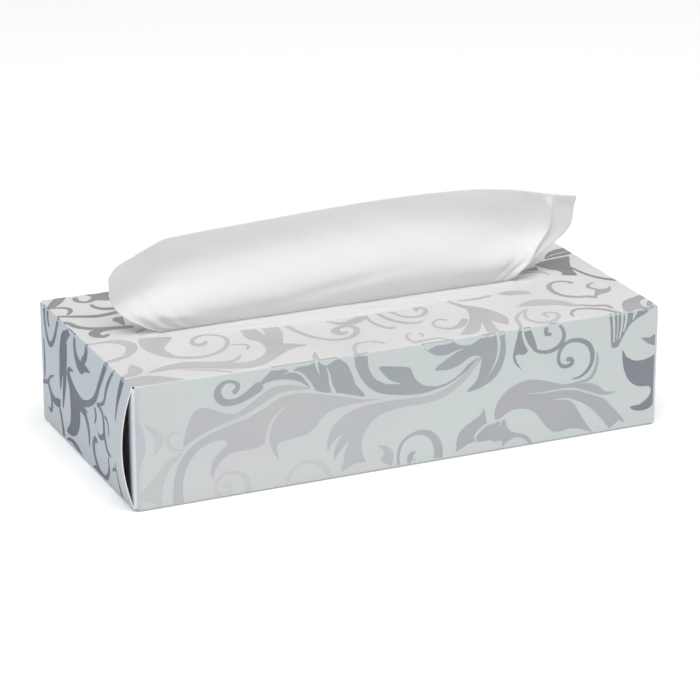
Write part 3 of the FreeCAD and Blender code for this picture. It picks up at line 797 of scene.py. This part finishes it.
# the ink of each motif; a leaf or stroke of the top that isn't named has the plain top ink
frontTones = {
    "leaves": (
        "mist pale soft bluish soft pale soft bluish "
        "bluish slate slate middle middle slate deep slate"
    ),
    "strokes": "bluish pale pale pale pale pale slate slate middle middle middle slate",
}
topTones = {
    "leaves": {
        7: "topMiddle", 8: "topDeep", 9: "topDeep", 10: "topMiddle", 11: "topDeep", 12: "topDeep",
        14: "topDeep",
    },
    "strokes": {
        11: "topMiddle", 12: "topMiddle", 13: "topDeep", 14: "topMiddle", 15: "topMiddle", 16: "topMiddle",
        **{k: "topDeep" for k in range(17, 24)},        # the strip at the left end
    },
}
# the motifs of the top's front half that are used again, turned, on its back half
turnedMotifs = {"leaves": (0, 1, 3, 4, 5, 6), "strokes": (*range(11), *range(25, 32))}


def patternShapes():
    # painted in order: each ink, then the light veins cut out of it
    shapes = []

    def draw(placing, texts, maker, tones):
        for text, tone in zip(texts, tones):
            ink = inkNames.index(tone) if tone else -1
            shapes.append((placed(maker(text), placing), ink, panelOf[placing]))

    leafTones = [topTones["leaves"].get(k, "top") for k in range(len(topLeaves))]
    strokeTones = [topTones["strokes"].get(k, "top") for k in range(len(topStrokes))]
    for placing in (onFront, onBack):
        draw(placing, frontLeaves, leafOutline, frontTones["leaves"].split())
        draw(placing, frontStrokes, strokeOutline, frontTones["strokes"].split())
    draw(onTop, topLeaves, leafOutline, leafTones)
    draw(onTop, topStrokes, strokeOutline, strokeTones)
    turnedLeaves = [topLeaves[k] for k in turnedMotifs["leaves"]]
    turnedStrokes = [topStrokes[k] for k in turnedMotifs["strokes"]]
    draw(onTopTurned, turnedLeaves, leafOutline, ["top"] * len(turnedLeaves))
    draw(onTopTurned, turnedStrokes, strokeOutline, ["top"] * len(turnedStrokes))
    # the end flaps take the darker end ink: painted shade
    for placing in (onLeftEnd, onRightEnd):
        draw(placing, endLeaves, leafOutline, ["end"] * len(endLeaves))
        draw(placing, endStrokes, strokeOutline, ["end"] * len(endStrokes))
    for placing, gaps in ((onFront, frontGaps), (onBack, frontGaps), (onTop, topGaps), (onTopTurned, topGaps)):
        draw(placing, gaps, strokeOutline, [None] * len(gaps))
    return shapes


def cutoutOutline(grow=0.0, longSteps=60, tipSteps=9):
    # the lens in blank coordinates: the front edge and right tip, then the back edge and left tip
    tip = carton["cutoutTip"]
    half = carton["cutoutWidth"] / 2
    tipCentre = carton["cutoutLength"] / 2 - tip
    longRadius = (tipCentre ** 2 + half ** 2 - tip ** 2) / (2 * (half - tip))
    edge = []
    for side in (-1, 1):
        for k in range(-longSteps, longSteps + 1):
            x = -side * tipCentre * k / longSteps
            y = math.sqrt(longRadius ** 2 - x * x) - (longRadius - half)
            edge.append((x, side * (y + grow)))
        for k in range(1, tipSteps):
            angle = side * math.pi / 2 + math.pi * k / tipSteps
            x = -side * tipCentre + (tip + grow) * math.cos(angle)
            edge.append((x, (tip + grow) * math.sin(angle)))
    return np.array([(x + halfLength, y - halfWidth) for x, y in edge])


def windingInside(points, outline):
    # how often the outline goes round each point, as a yes or no
    inside = np.zeros(len(points), int)
    low = outline.min(0)
    high = outline.max(0)
    near = np.where((points >= low).all(1) & (points <= high).all(1))[0]
    if len(near) == 0:
        return inside.astype(bool)
    px = points[near, 0][:, None]
    py = points[near, 1][:, None]
    x0, y0 = outline[:, 0][None], outline[:, 1][None]
    x1, y1 = np.roll(outline[:, 0], -1)[None], np.roll(outline[:, 1], -1)[None]
    side = (x1 - x0) * (py - y0) - (px - x0) * (y1 - y0)
    upward = (y0 <= py) & (y1 > py) & (side > 0)
    downward = (y0 > py) & (y1 <= py) & (side < 0)
    inside[near] = upward.sum(1) - downward.sum(1)
    return inside != 0


def foldedPlace(u, v):
    # a point of the flat blank to its place on the carton, or the middle of its fold, and the way it faces
    r = carton["foldRadius"]
    width = carton["width"]
    x = u - halfLength
    if (u < r or u > carton["length"] - r) and -width - r < v < r:
        side = -1 if u < r else 1
        beyond = -u if side < 0 else u - carton["length"]
        margin = printSettings["flapMargin"] - 0.01
        if not -width + margin < v < -margin:
            return None
        y = -halfWidth - v
        if beyond < r:
            angle = (beyond + r) / (2 * r) * math.pi / 2
            centre = Vector((side * (halfLength - r), y, height - r))
            return centre, Vector((side * math.sin(angle), 0, math.cos(angle)))
        return Vector((side * halfLength, y, height - beyond)), Vector((side, 0, 0))
    if v > r:
        return Vector((x, -halfWidth, height - v)), Vector((0, -1, 0))
    if v > -r:
        angle = (r - v) / (2 * r) * math.pi / 2
        return Vector((x, -halfWidth + r, height - r)), Vector((0, -math.cos(angle), math.sin(angle)))
    if v > -width + r:
        return Vector((x, -halfWidth - v, height)), Vector((0, 0, 1))
    if v > -width - r:
        angle = (-v - width + r) / (2 * r) * math.pi / 2
        return Vector((x, halfWidth - r, height - r)), Vector((0, math.sin(angle), math.cos(angle)))
    return Vector((x, halfWidth, height + width + v)), Vector((0, 1, 0))


def gridLines(low, high, step, folds=()):
    # evenly spaced places, with closer ones across the folds
    lines = set()
    place = low
    while place < high:
        if all(abs(place - fold) > printSettings["foldClear"] for fold in folds):
            lines.add(round(place, 3))
        place += step
    for fold in folds:
        for offset in printSettings["foldRows"]:
            lines.add(round(fold + offset, 3))
    return sorted(lines)


def printOutlines(shapes):
    # points and edges of the flat print: grid, folds, limits of the ink and every shape
    length, width = carton["length"], carton["width"]
    reach, step, far = printSettings["foldReach"], printSettings["gridStep"], printSettings["endGrid"]
    start = printSettings["panelFrom"]
    uLines = gridLines(-far, -reach, printSettings["bowStep"])
    uLines += gridLines(-reach, length + reach, step, (0, length))
    uLines += gridLines(length + start, length + far, step)
    vLines = gridLines(-width - printSettings["backGrid"], -width - reach, step)
    vLines += gridLines(-width - reach, reach, printSettings["topStep"], (-width, 0))
    vLines += gridLines(start, far, step)
    points = []
    edges = []
    lookup = {}

    def addPoint(u, v):
        key = (round(u, 4), round(v, 4))
        if key not in lookup:
            lookup[key] = len(points)
            points.append(key)
        return lookup[key]

    def addLine(places):
        row = [addPoint(u, v) for u, v in places]
        edges.extend(zip(row, row[1:]))

    for u in uLines:
        for v in vLines:
            addPoint(u, v)
    for fold in (-width, 0):
        for offset in printSettings["foldRows"]:
            addLine([(u, round(fold + offset, 3)) for u in uLines])
    for fold in (0, length):
        for offset in printSettings["foldRows"]:
            addLine([(round(fold + offset, 3), v) for v in vLines])
    for u in panelOf[onFront][:2]:
        addLine([(u, v) for v in vLines if v >= 0])
        addLine([(u, v) for v in vLines if v <= -width])
    for u in (-printSettings["flapReach"], length + printSettings["flapReach"]):
        addLine([(u, v) for v in vLines if -width <= v <= 0])
    for v in (-printSettings["flapMargin"], -width + printSettings["flapMargin"]):
        addLine([(u, v) for u in uLines])
    for outline in [shape[0] for shape in shapes] + [cutoutOutline(printSettings["cutoutMargin"])]:
        ring = [addPoint(u, v) for u, v in outline]
        ring = [a for k, a in enumerate(ring) if a != ring[k - 1]]
        edges += [(a, b) for a, b in zip(ring, ring[1:] + ring[:1]) if a != b]
    return [Vector(point) for point in points], edges


def within(places, low, high):
    return (places > low) & (places < high)


def inkTriangles():
    # the flat print as points, triangles and the ink of each triangle
    shapes = patternShapes()
    points, edges = printOutlines(shapes)
    flat, _, faces, _, _, _ = delaunay_2d_cdt(points, edges, [], 0, 0.0005)
    flat = np.array([(p.x, p.y) for p in flat])
    faces = np.array([face for face in faces if len(face) == 3])
    centres = flat[faces].mean(1)
    ink = np.full(len(faces), -1)
    for outline, tone, (lowU, highU, lowV, highV) in shapes:
        covered = windingInside(centres, outline)
        covered &= within(centres[:, 0], lowU, highU) & within(centres[:, 1], lowV, highV)
        ink[covered] = tone
    flapReach = printSettings["flapReach"]
    inked = (ink >= 0) & ~windingInside(centres, cutoutOutline(printSettings["cutoutMargin"]))
    inked &= within(centres[:, 0], -flapReach, carton["length"] + flapReach)
    inked &= within(centres[:, 1], -carton["width"] - printSettings["backReach"], printSettings["frontReach"])
    return flat, faces[inked], ink[inked]


def pressOn(flat, wanted):
    # each wanted point of the flat print laid on the board, which is then bent as the board is
    tree = BVHTree.FromPolygons(boardFlat, boardCorners)
    places = {}
    for index in wanted:
        found = foldedPlace(*flat[index])
        if found is None:
            continue
        place, normal = found
        start = place + normal * printSettings["pressFrom"]
        hit, _, triangle, _ = tree.ray_cast(start, -normal, printSettings["pressDepth"])
        if hit is None:
            continue
        under = boardCorners[triangle]
        flatCorners = [boardFlat[k] for k in under]
        laid = barycentric_transform(hit, *flatCorners, *[boardSagged[k] for k in under])
        places[index] = laid + normal * printSettings["lift"]
    return places


def makePrint():
    flat, faces, tones = inkTriangles()
    places = pressOn(flat, np.unique(faces))
    bm = bmesh.new()
    made = {index: bm.verts.new(place * mm) for index, place in places.items()}
    for face, tone in zip(faces, tones):
        if not all(index in made for index in face):
            continue
        corners = [made[index] for index in face]
        if max((corners[k].co - corners[k - 1].co).length for k in range(3)) <= printSettings["longest"] * mm:
            patch = bm.faces.new(corners)
            patch.material_index = int(tone)
    bm.normal_update()
    middle = Vector((0, 0, height / 2 * mm))
    facing = []
    for face in bm.faces:
        outward = face.calc_center_median() - middle
        outward.x /= 2.1        # the carton is about this much longer than it is wide
        facing.append((face, face.normal.dot(outward)))
    for face, amount in facing:
        if amount < -1e-9:
            face.normal_flip()
    mesh = bpy.data.meshes.new("silver_scroll_print")
    bm.to_mesh(mesh)
    bm.free()
    scroll = makeObject("silver_scroll_print", mesh, inkMaterials)
    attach(scroll, "root")


makePrint()


# the standing tissue
print("standing tissue")
tissue = {
    "across": 250,          # columns
    "up": 60,               # rows of the part that shows
    "thickness": 0.12,
    "colours": ((0.920, 0.920, 0.923), (0.962, 0.962, 0.965)),
    "through": 0.28,        # share of the light that comes through
    # the top edge as (x, z) in millimetres
    "topEdge": [
        (-102.4, 75.3), (-99.0, 79.4), (-90, 82.4), (-81, 85.2), (-75.5, 86.7), (-70, 87.1), (-37, 88.8),
        (-3, 90.2), (30, 90.7), (62, 89.8), (79, 87.7), (93, 85.4), (107.6, 83.2),
    ],
    # the two sides as (share of the height, x)
    "leftSide": [
        (0.0, -83.5), (0.07, -88.0), (0.16, -91.5), (0.26, -95.6), (0.40, -99.4), (0.55, -101.3),
        (0.70, -101.9), (1.0, -102.4),
    ],
    "rightSide": [
        (0.0, 77), (0.10, 80.5), (0.2, 86), (0.32, 93), (0.42, 99.8), (0.52, 104.2), (0.66, 106.5),
        (1.0, 107.6),
    ],
    # how the sheet leans back as (share of the height, y), and where along it the lean starts lower
    "depthProfile": [
        (-0.2, -0.2), (0.0, -0.6), (0.05, -0.9), (0.12, -1.3), (0.20, -1.5), (0.28, -0.9), (0.37, 0.6),
        (0.48, 3.5), (0.60, 7.2), (0.72, 10.0), (0.84, 11.2), (1.0, 11.3), (1.3, 11.0),
    ],
    "depthShift": [
        (0.0, 0.30), (0.08, 0.25), (0.18, 0.13), (0.3, 0.07), (0.55, 0.01), (0.66, 0.02), (0.77, 0.09),
        (0.86, 0.2), (0.93, 0.27), (1.0, 0.30),
    ],
    # the crease near the right side as (share of the height, share of the width)
    "creasePlace": [(0.0, 0.985), (0.2, 0.976), (0.4, 0.953), (0.6, 0.947), (1.0, 0.943)],
    "crease": 2.2,
    "creaseHollow": 0.9,
    "creaseStep": 1.4,
    "gather": 0.9,          # depth of the gathers at the ends of the slit
    "gatherWaves": (150, 170),
    "ripple": 0.12,
    "slack": (0.5, 0.22),   # depth of the broad and the fine unevenness
    "diagonal": 0.8,        # a soft fold that rises to the right
    "dimple": 0.7,          # a dip at the left
    # the half that lies folded on the stack and the neck, as (y, z), and how far each row narrows to the slit
    "laidPath": [
        (47.5, 45.95), (-47.4, 45.95), (-48.0, 46.3), (-47.4, 46.7), (-24, 46.7), (-2.4, 46.8), (-0.7, 47.4),
        (0, 49.0), (0, 50.6),
    ],
    "laidHalf": 103.0,
    "narrowing": {5: 0.25, 6: 0.5, 7: 0.72, 8: 0.9},
}


def standingPoint(across, up):
    # across and up run from 0 to 1; gives millimetres
    leftTop, rightTop = tissue["leftSide"][-1][1], tissue["rightSide"][-1][1]
    left = blendTable(tissue["leftSide"], up)
    right = blendTable(tissue["rightSide"], up)
    x = left + (right - left) * across
    top = blendTable(tissue["topEdge"], leftTop + (rightTop - leftTop) * across)
    z = height + (top - height) * up
    shift = blendTable(tissue["depthShift"], across) * smoothStep(0.08, 0.5, up)
    y = blendTable(tissue["depthProfile"], up + shift)
    y *= 1 - 0.55 * smoothStep(0.13, 0.0, across) - 0.6 * smoothStep(0.86, 1.0, across)
    low = 1 - up
    leftWaves, rightWaves = tissue["gatherWaves"]
    gather = tissue["gather"] * math.sin(across * leftWaves) * smoothStep(0.16, 0.0, across)
    gather += tissue["gather"] * math.sin(across * rightWaves) * smoothStep(0.90, 1.0, across)
    gather *= low ** 3.5
    gather += tissue["ripple"] * math.sin(across * 43 + 2.2 * math.sin(across * 9)) * low ** 3
    offCrease = across - blendTable(tissue["creasePlace"], up)
    ridge = tissue["crease"] * bell(offCrease, 0.007) - tissue["creaseHollow"] * bell(offCrease + 0.035, 0.022)
    ridge -= tissue["creaseStep"] * smoothStep(0.0, 0.035, offCrease)
    ridge *= smoothStep(0.0, 0.12, up) * smoothStep(1.0, 0.82, up)
    broad, fine = tissue["slack"]
    slack = broad * wave(x * 0.016, z * 0.05, 4.2) + fine * wave(x * 0.05 + z * 0.06, z * 0.10, 9.7)
    diagonal = tissue["diagonal"] * bell(z - 57.0 - (x + 32) * 0.12, 2.2) * bell(x + 5, 26.0)
    dimple = tissue["dimple"] * bell(z - 57.5 + (x + 78) * 0.15, 1.8) * bell(x + 72, 12.0)
    y += gather * smoothStep(0.0, 0.05, up) + slack * smoothStep(0.0, 0.35, up) * 1.6
    y += diagonal - dimple - ridge
    return Vector((x, y, z))


def acrossPlaces(count):
    # columns stand closer together in the gathered ends
    places = []
    for k in range(count + 1):
        share = k / count
        places.append(share - 0.066 * math.sin(2 * math.pi * share))
    return places


def laidPoint(across, row):
    y, z = tissue["laidPath"][row]
    half = tissue["laidHalf"]
    narrow = tissue["narrowing"].get(row, 0.0)
    left = -half + (half + tissue["leftSide"][0][1]) * narrow
    right = half - (half - tissue["rightSide"][0][1]) * narrow
    return Vector((left + (right - left) * across, y, z))


def tissueFinish():
    material, tree, shader = newMaterial("facialTissue")
    nodes, links = tree.nodes, tree.links
    fibre = addNoise(tree, 900.0, 4.0, (1.0, 2.2, 2.2))
    links.new(addRamp(tree, fibre, 0.3, 0.7, *tissue["colours"]), shader.inputs["Base Color"])
    setShader(shader, roughness=0.95, sheenWeight=0.08, sheenRoughness=0.5)
    shader.inputs["Specular IOR Level"].default_value = 0.1
    addBump(tree, shader, addNoise(tree, 1500.0, 5.0), 0.35, 0.00012)
    through = nodes.new("ShaderNodeBsdfTranslucent")
    through.inputs["Color"].default_value = (0.92, 0.92, 0.92, 1)
    mix = nodes.new("ShaderNodeMixShader")
    mix.inputs["Fac"].default_value = tissue["through"]
    links.new(shader.outputs["BSDF"], mix.inputs[1])
    links.new(through.outputs["BSDF"], mix.inputs[2])
    links.new(mix.outputs["Shader"], nodes["Material Output"].inputs["Surface"])
    return material


tissuePaper = tissueFinish()


def makeTissue():
    places = acrossPlaces(tissue["across"])
    rows = []
    for row in range(len(tissue["laidPath"])):
        rows.append([laidPoint(across, row) for across in places])
    for step in range(tissue["up"] + 1):
        rows.append([standingPoint(across, step / tissue["up"]) for across in places])
    vertices = [point * mm for row in rows for point in row]
    faces = []
    wide = len(places)
    for r in range(len(rows) - 1):
        for c in range(wide - 1):
            faces.append((r * wide + c, r * wide + c + 1, (r + 1) * wide + c + 1, (r + 1) * wide + c))
    sheet = makeSurface("standing_tissue", vertices, faces, tissuePaper)
    solid = sheet.modifiers.new("thickness", "SOLIDIFY")
    solid.thickness = tissue["thickness"] * mm
    solid.offset = 0
    bakeModifiers(sheet)
    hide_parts("popped_tissue")
    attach(sheet, "root")


makeTissue()


# the folded stack under the film
print("folded stack")
stackSettings = {
    "layers": 46,
    "length": 207.6,
    "width": 102.8,
    "bottom": 0.5,          # heights of the lowest and highest sheet
    "top": 45.7,
    "ridge": 0.35,          # how far every other fold draws in
    "bulge": 1.3,           # how far the top and bottom draw in
    "uneven": 0.35,
    "inset": 0.2,
    "alongSteps": 52,       # points along a long side, and half as many on a short one
}


def stackOutline(halfX, halfY):
    # four sides, each without its first corner but for the first
    along = stackSettings["alongSteps"]
    across = along // 2
    outline = [(-halfX + 2 * halfX * k / along, -halfY) for k in range(along + 1)]
    outline += [(halfX, -halfY + 2 * halfY * k / across) for k in range(1, across + 1)]
    outline += [(halfX - 2 * halfX * k / along, halfY) for k in range(1, along + 1)]
    outline += [(-halfX, halfY - 2 * halfY * k / across) for k in range(1, across)]
    return outline


def makeStack():
    bm = bmesh.new()
    rings = []
    halfX, halfY = stackSettings["length"] / 2, stackSettings["width"] / 2
    outline = stackOutline(halfX, halfY)
    levels = stackSettings["layers"] * 2
    for level in range(levels + 1):
        share = level / levels
        z = stackSettings["bottom"] + (stackSettings["top"] - stackSettings["bottom"]) * share
        bulge = stackSettings["bulge"] * (2 * share - 1) ** 2 + stackSettings["inset"]
        bulge += stackSettings["ridge"] if level % 2 else 0.0
        ring = []
        for x, y in outline:
            inset = bulge + stackSettings["uneven"] * wave(x * 0.05, y * 0.05, level * 1.7)
            newX = x - math.copysign(min(inset * 0.5, 1.5), x) * (abs(x) > halfX - 0.01)
            newY = y - math.copysign(inset, y) * (abs(y) > halfY - 0.01)
            ring.append(bm.verts.new(Vector((newX, newY, z)) * mm))
        rings.append(ring)
    count = len(outline)
    for lower, upper in zip(rings, rings[1:]):
        for k in range(count):
            bm.faces.new((lower[k], lower[(k + 1) % count], upper[(k + 1) % count], upper[k]))
    bm.faces.new(rings[0][::-1])
    bm.faces.new(rings[-1])
    mesh = bpy.data.meshes.new("folded_tissues")
    bm.to_mesh(mesh)
    bm.free()
    stack = makeObject("folded_tissues", mesh, [tissuePaper])
    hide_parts("tissue_stack")
    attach(stack, "root")


makeStack()


# clear film window with its slit and lifted lips
print("film window")
filmSettings = {
    "length": 203.0,
    "width": 51.4,
    "level": 51.47,         # height of the flat film
    "slitHalf": 86.0,       # the lips lift within this half length
    "slitFrom": -84.0,      # the slit is open from here to there
    "slitTo": 77.4,
    "slitGap": 0.75,        # from the middle to a lip's edge
    "lipReach": 6.0,
    "frontLip": 0.35,       # how far each lip curls up
    "backLip": 2.4,
    "freeHalf": 92.0,       # half length of the part that lies free in the cut-out
    "wrinkle": 0.22,
    "fineWrinkle": 0.10,
    "dip": 0.25,            # how far the free part hangs
    "columns": 204,
    "rows": 35,
    "colour": (0.87, 0.875, 0.88, 1),
    "alpha": 0.80,
}


def filmHeight(x, y):
    away = abs(y)
    along = max(0.0, 1 - (abs(x) / filmSettings["slitHalf"]) ** 2)
    rise = filmSettings["frontLip"] if y < 0 else filmSettings["backLip"]
    curl = smoothStep(filmSettings["lipReach"], filmSettings["slitGap"], away) ** 1.6
    lift = curl * rise * math.sqrt(along) * (0.8 + 0.35 * wave(x * 0.05, y * 0.02, 2.2))
    half = carton["cutoutWidth"] / 2 * math.sqrt(max(0.0, 1 - (x / filmSettings["freeHalf"]) ** 2))
    free = smoothStep(half, half - 3, away) if half > 3 else 0.0
    wrinkle = filmSettings["wrinkle"] * wave(x * 0.05, y * 0.22, 7.0)
    wrinkle += filmSettings["fineWrinkle"] * wave(x * 0.22 + y * 0.2, y * 0.5, 3.0)
    return filmSettings["level"] + lift + (wrinkle - filmSettings["dip"]) * free


def filmFinish():
    material, tree, shader = newMaterial("clearFilm")
    shader.inputs["Base Color"].default_value = filmSettings["colour"]
    shader.inputs["Specular IOR Level"].default_value = 0.35
    setShader(shader, roughness=0.26, alpha=filmSettings["alpha"], coatWeight=0.15, coatRoughness=0.1)
    addBump(tree, shader, addNoise(tree, 420.0, 3.0, (1, 3, 1)), 0.3, 0.0002)
    return material


def makeFilm():
    vertices = []
    faces = []
    gap, rows = filmSettings["slitGap"], filmSettings["rows"]
    reach = filmSettings["width"] / 2 - gap
    xs = np.linspace(-filmSettings["length"] / 2, filmSettings["length"] / 2, filmSettings["columns"])
    ys = [gap + reach * (k / (rows - 1)) ** 1.35 for k in range(rows)]
    for side in (-1, 1):
        start = len(vertices)
        for x in xs:
            atSlit = filmSettings["slitFrom"] < x < filmSettings["slitTo"]
            for k, y in enumerate(ys):
                # past its ends the slit is closed and the film there lies as flat as it does beyond the lips
                place = y if atSlit or k else 0.0
                z = filmHeight(x, side * (y if atSlit else y + filmSettings["lipReach"]))
                vertices.append(Vector((x, side * place, z)) * mm)
        for i in range(len(xs) - 1):
            for k in range(rows - 1):
                a = start + i * rows + k
                quad = (a, a + rows, a + rows + 1, a + 1)
                faces.append(quad if side > 0 else quad[::-1])
    film = makeSurface("clear_window_film", vertices, faces, filmFinish())
    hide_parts("film_window")
    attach(film, "root")


makeFilm()


# floor and light
print("floor and light")
studio = {
    "floorSize": 8,
    "floorDrop": 0.0002,    # keeps the floor just under the carton
    "floorColour": (0.94, 0.94, 0.94, 1),
    "floorGlow": 0.14,      # seen by the camera alone
    "world": 0.34,
    "keyPower": 50.0,
    "keySize": 2.4,
    "keyPlace": (-0.2, -0.6, 2.1),
    "keyAim": (0, 0, 0.03),
}


def makeFloor():
    bpy.ops.mesh.primitive_plane_add(size=studio["floorSize"])
    floor = bpy.context.object
    floor.name = "floor"
    floor.location = (0, 0, -studio["floorDrop"])
    material, tree, shader = newMaterial("whiteFloor")
    nodes, links = tree.nodes, tree.links
    shader.inputs["Base Color"].default_value = studio["floorColour"]
    shader.inputs["Roughness"].default_value = 0.9
    shader.inputs["Specular IOR Level"].default_value = 0.0
    shader.inputs["Emission Color"].default_value = (1, 1, 1, 1)
    path = nodes.new("ShaderNodeLightPath")
    lifted = nodes.new("ShaderNodeMath")
    lifted.operation = "MULTIPLY"
    lifted.inputs[1].default_value = studio["floorGlow"]
    links.new(path.outputs["Is Camera Ray"], lifted.inputs[0])
    links.new(lifted.outputs[0], shader.inputs["Emission Strength"])
    floor.data.materials.append(material)


def makeWorld():
    # white where the camera or a reflection sees it, and a plain soft light elsewhere
    world = bpy.data.worlds.new("studio")
    scene.world = world
    world.use_nodes = True
    nodes, links = world.node_tree.nodes, world.node_tree.links
    nodes.clear()
    output = nodes.new("ShaderNodeOutputWorld")
    mix = nodes.new("ShaderNodeMixShader")
    for socket, strength in ((1, studio["world"]), (2, 1.0)):
        background = nodes.new("ShaderNodeBackground")
        background.inputs["Color"].default_value = (1, 1, 1, 1)
        background.inputs["Strength"].default_value = strength
        links.new(background.outputs["Background"], mix.inputs[socket])
    rays = nodes.new("ShaderNodeLightPath")
    either = nodes.new("ShaderNodeMath")
    either.operation = "MAXIMUM"
    links.new(rays.outputs["Is Camera Ray"], either.inputs[0])
    links.new(rays.outputs["Is Glossy Ray"], either.inputs[1])
    links.new(either.outputs[0], mix.inputs["Fac"])
    links.new(mix.outputs["Shader"], output.inputs["Surface"])


def makeLamp():
    data = bpy.data.lights.new("keyLamp", "AREA")
    data.shape = "SQUARE"
    data.size = studio["keySize"]
    data.energy = studio["keyPower"]
    lamp = bpy.data.objects.new("keyLamp", data)
    lamp.location = studio["keyPlace"]
    lamp.rotation_mode = "QUATERNION"
    lamp.rotation_quaternion = (Vector(studio["keyAim"]) - lamp.location).to_track_quat("-Z", "Y")
    scene.collection.objects.link(lamp)


makeFloor()
makeWorld()
makeLamp()
scene.view_settings.view_transform = "Standard"

print("done")
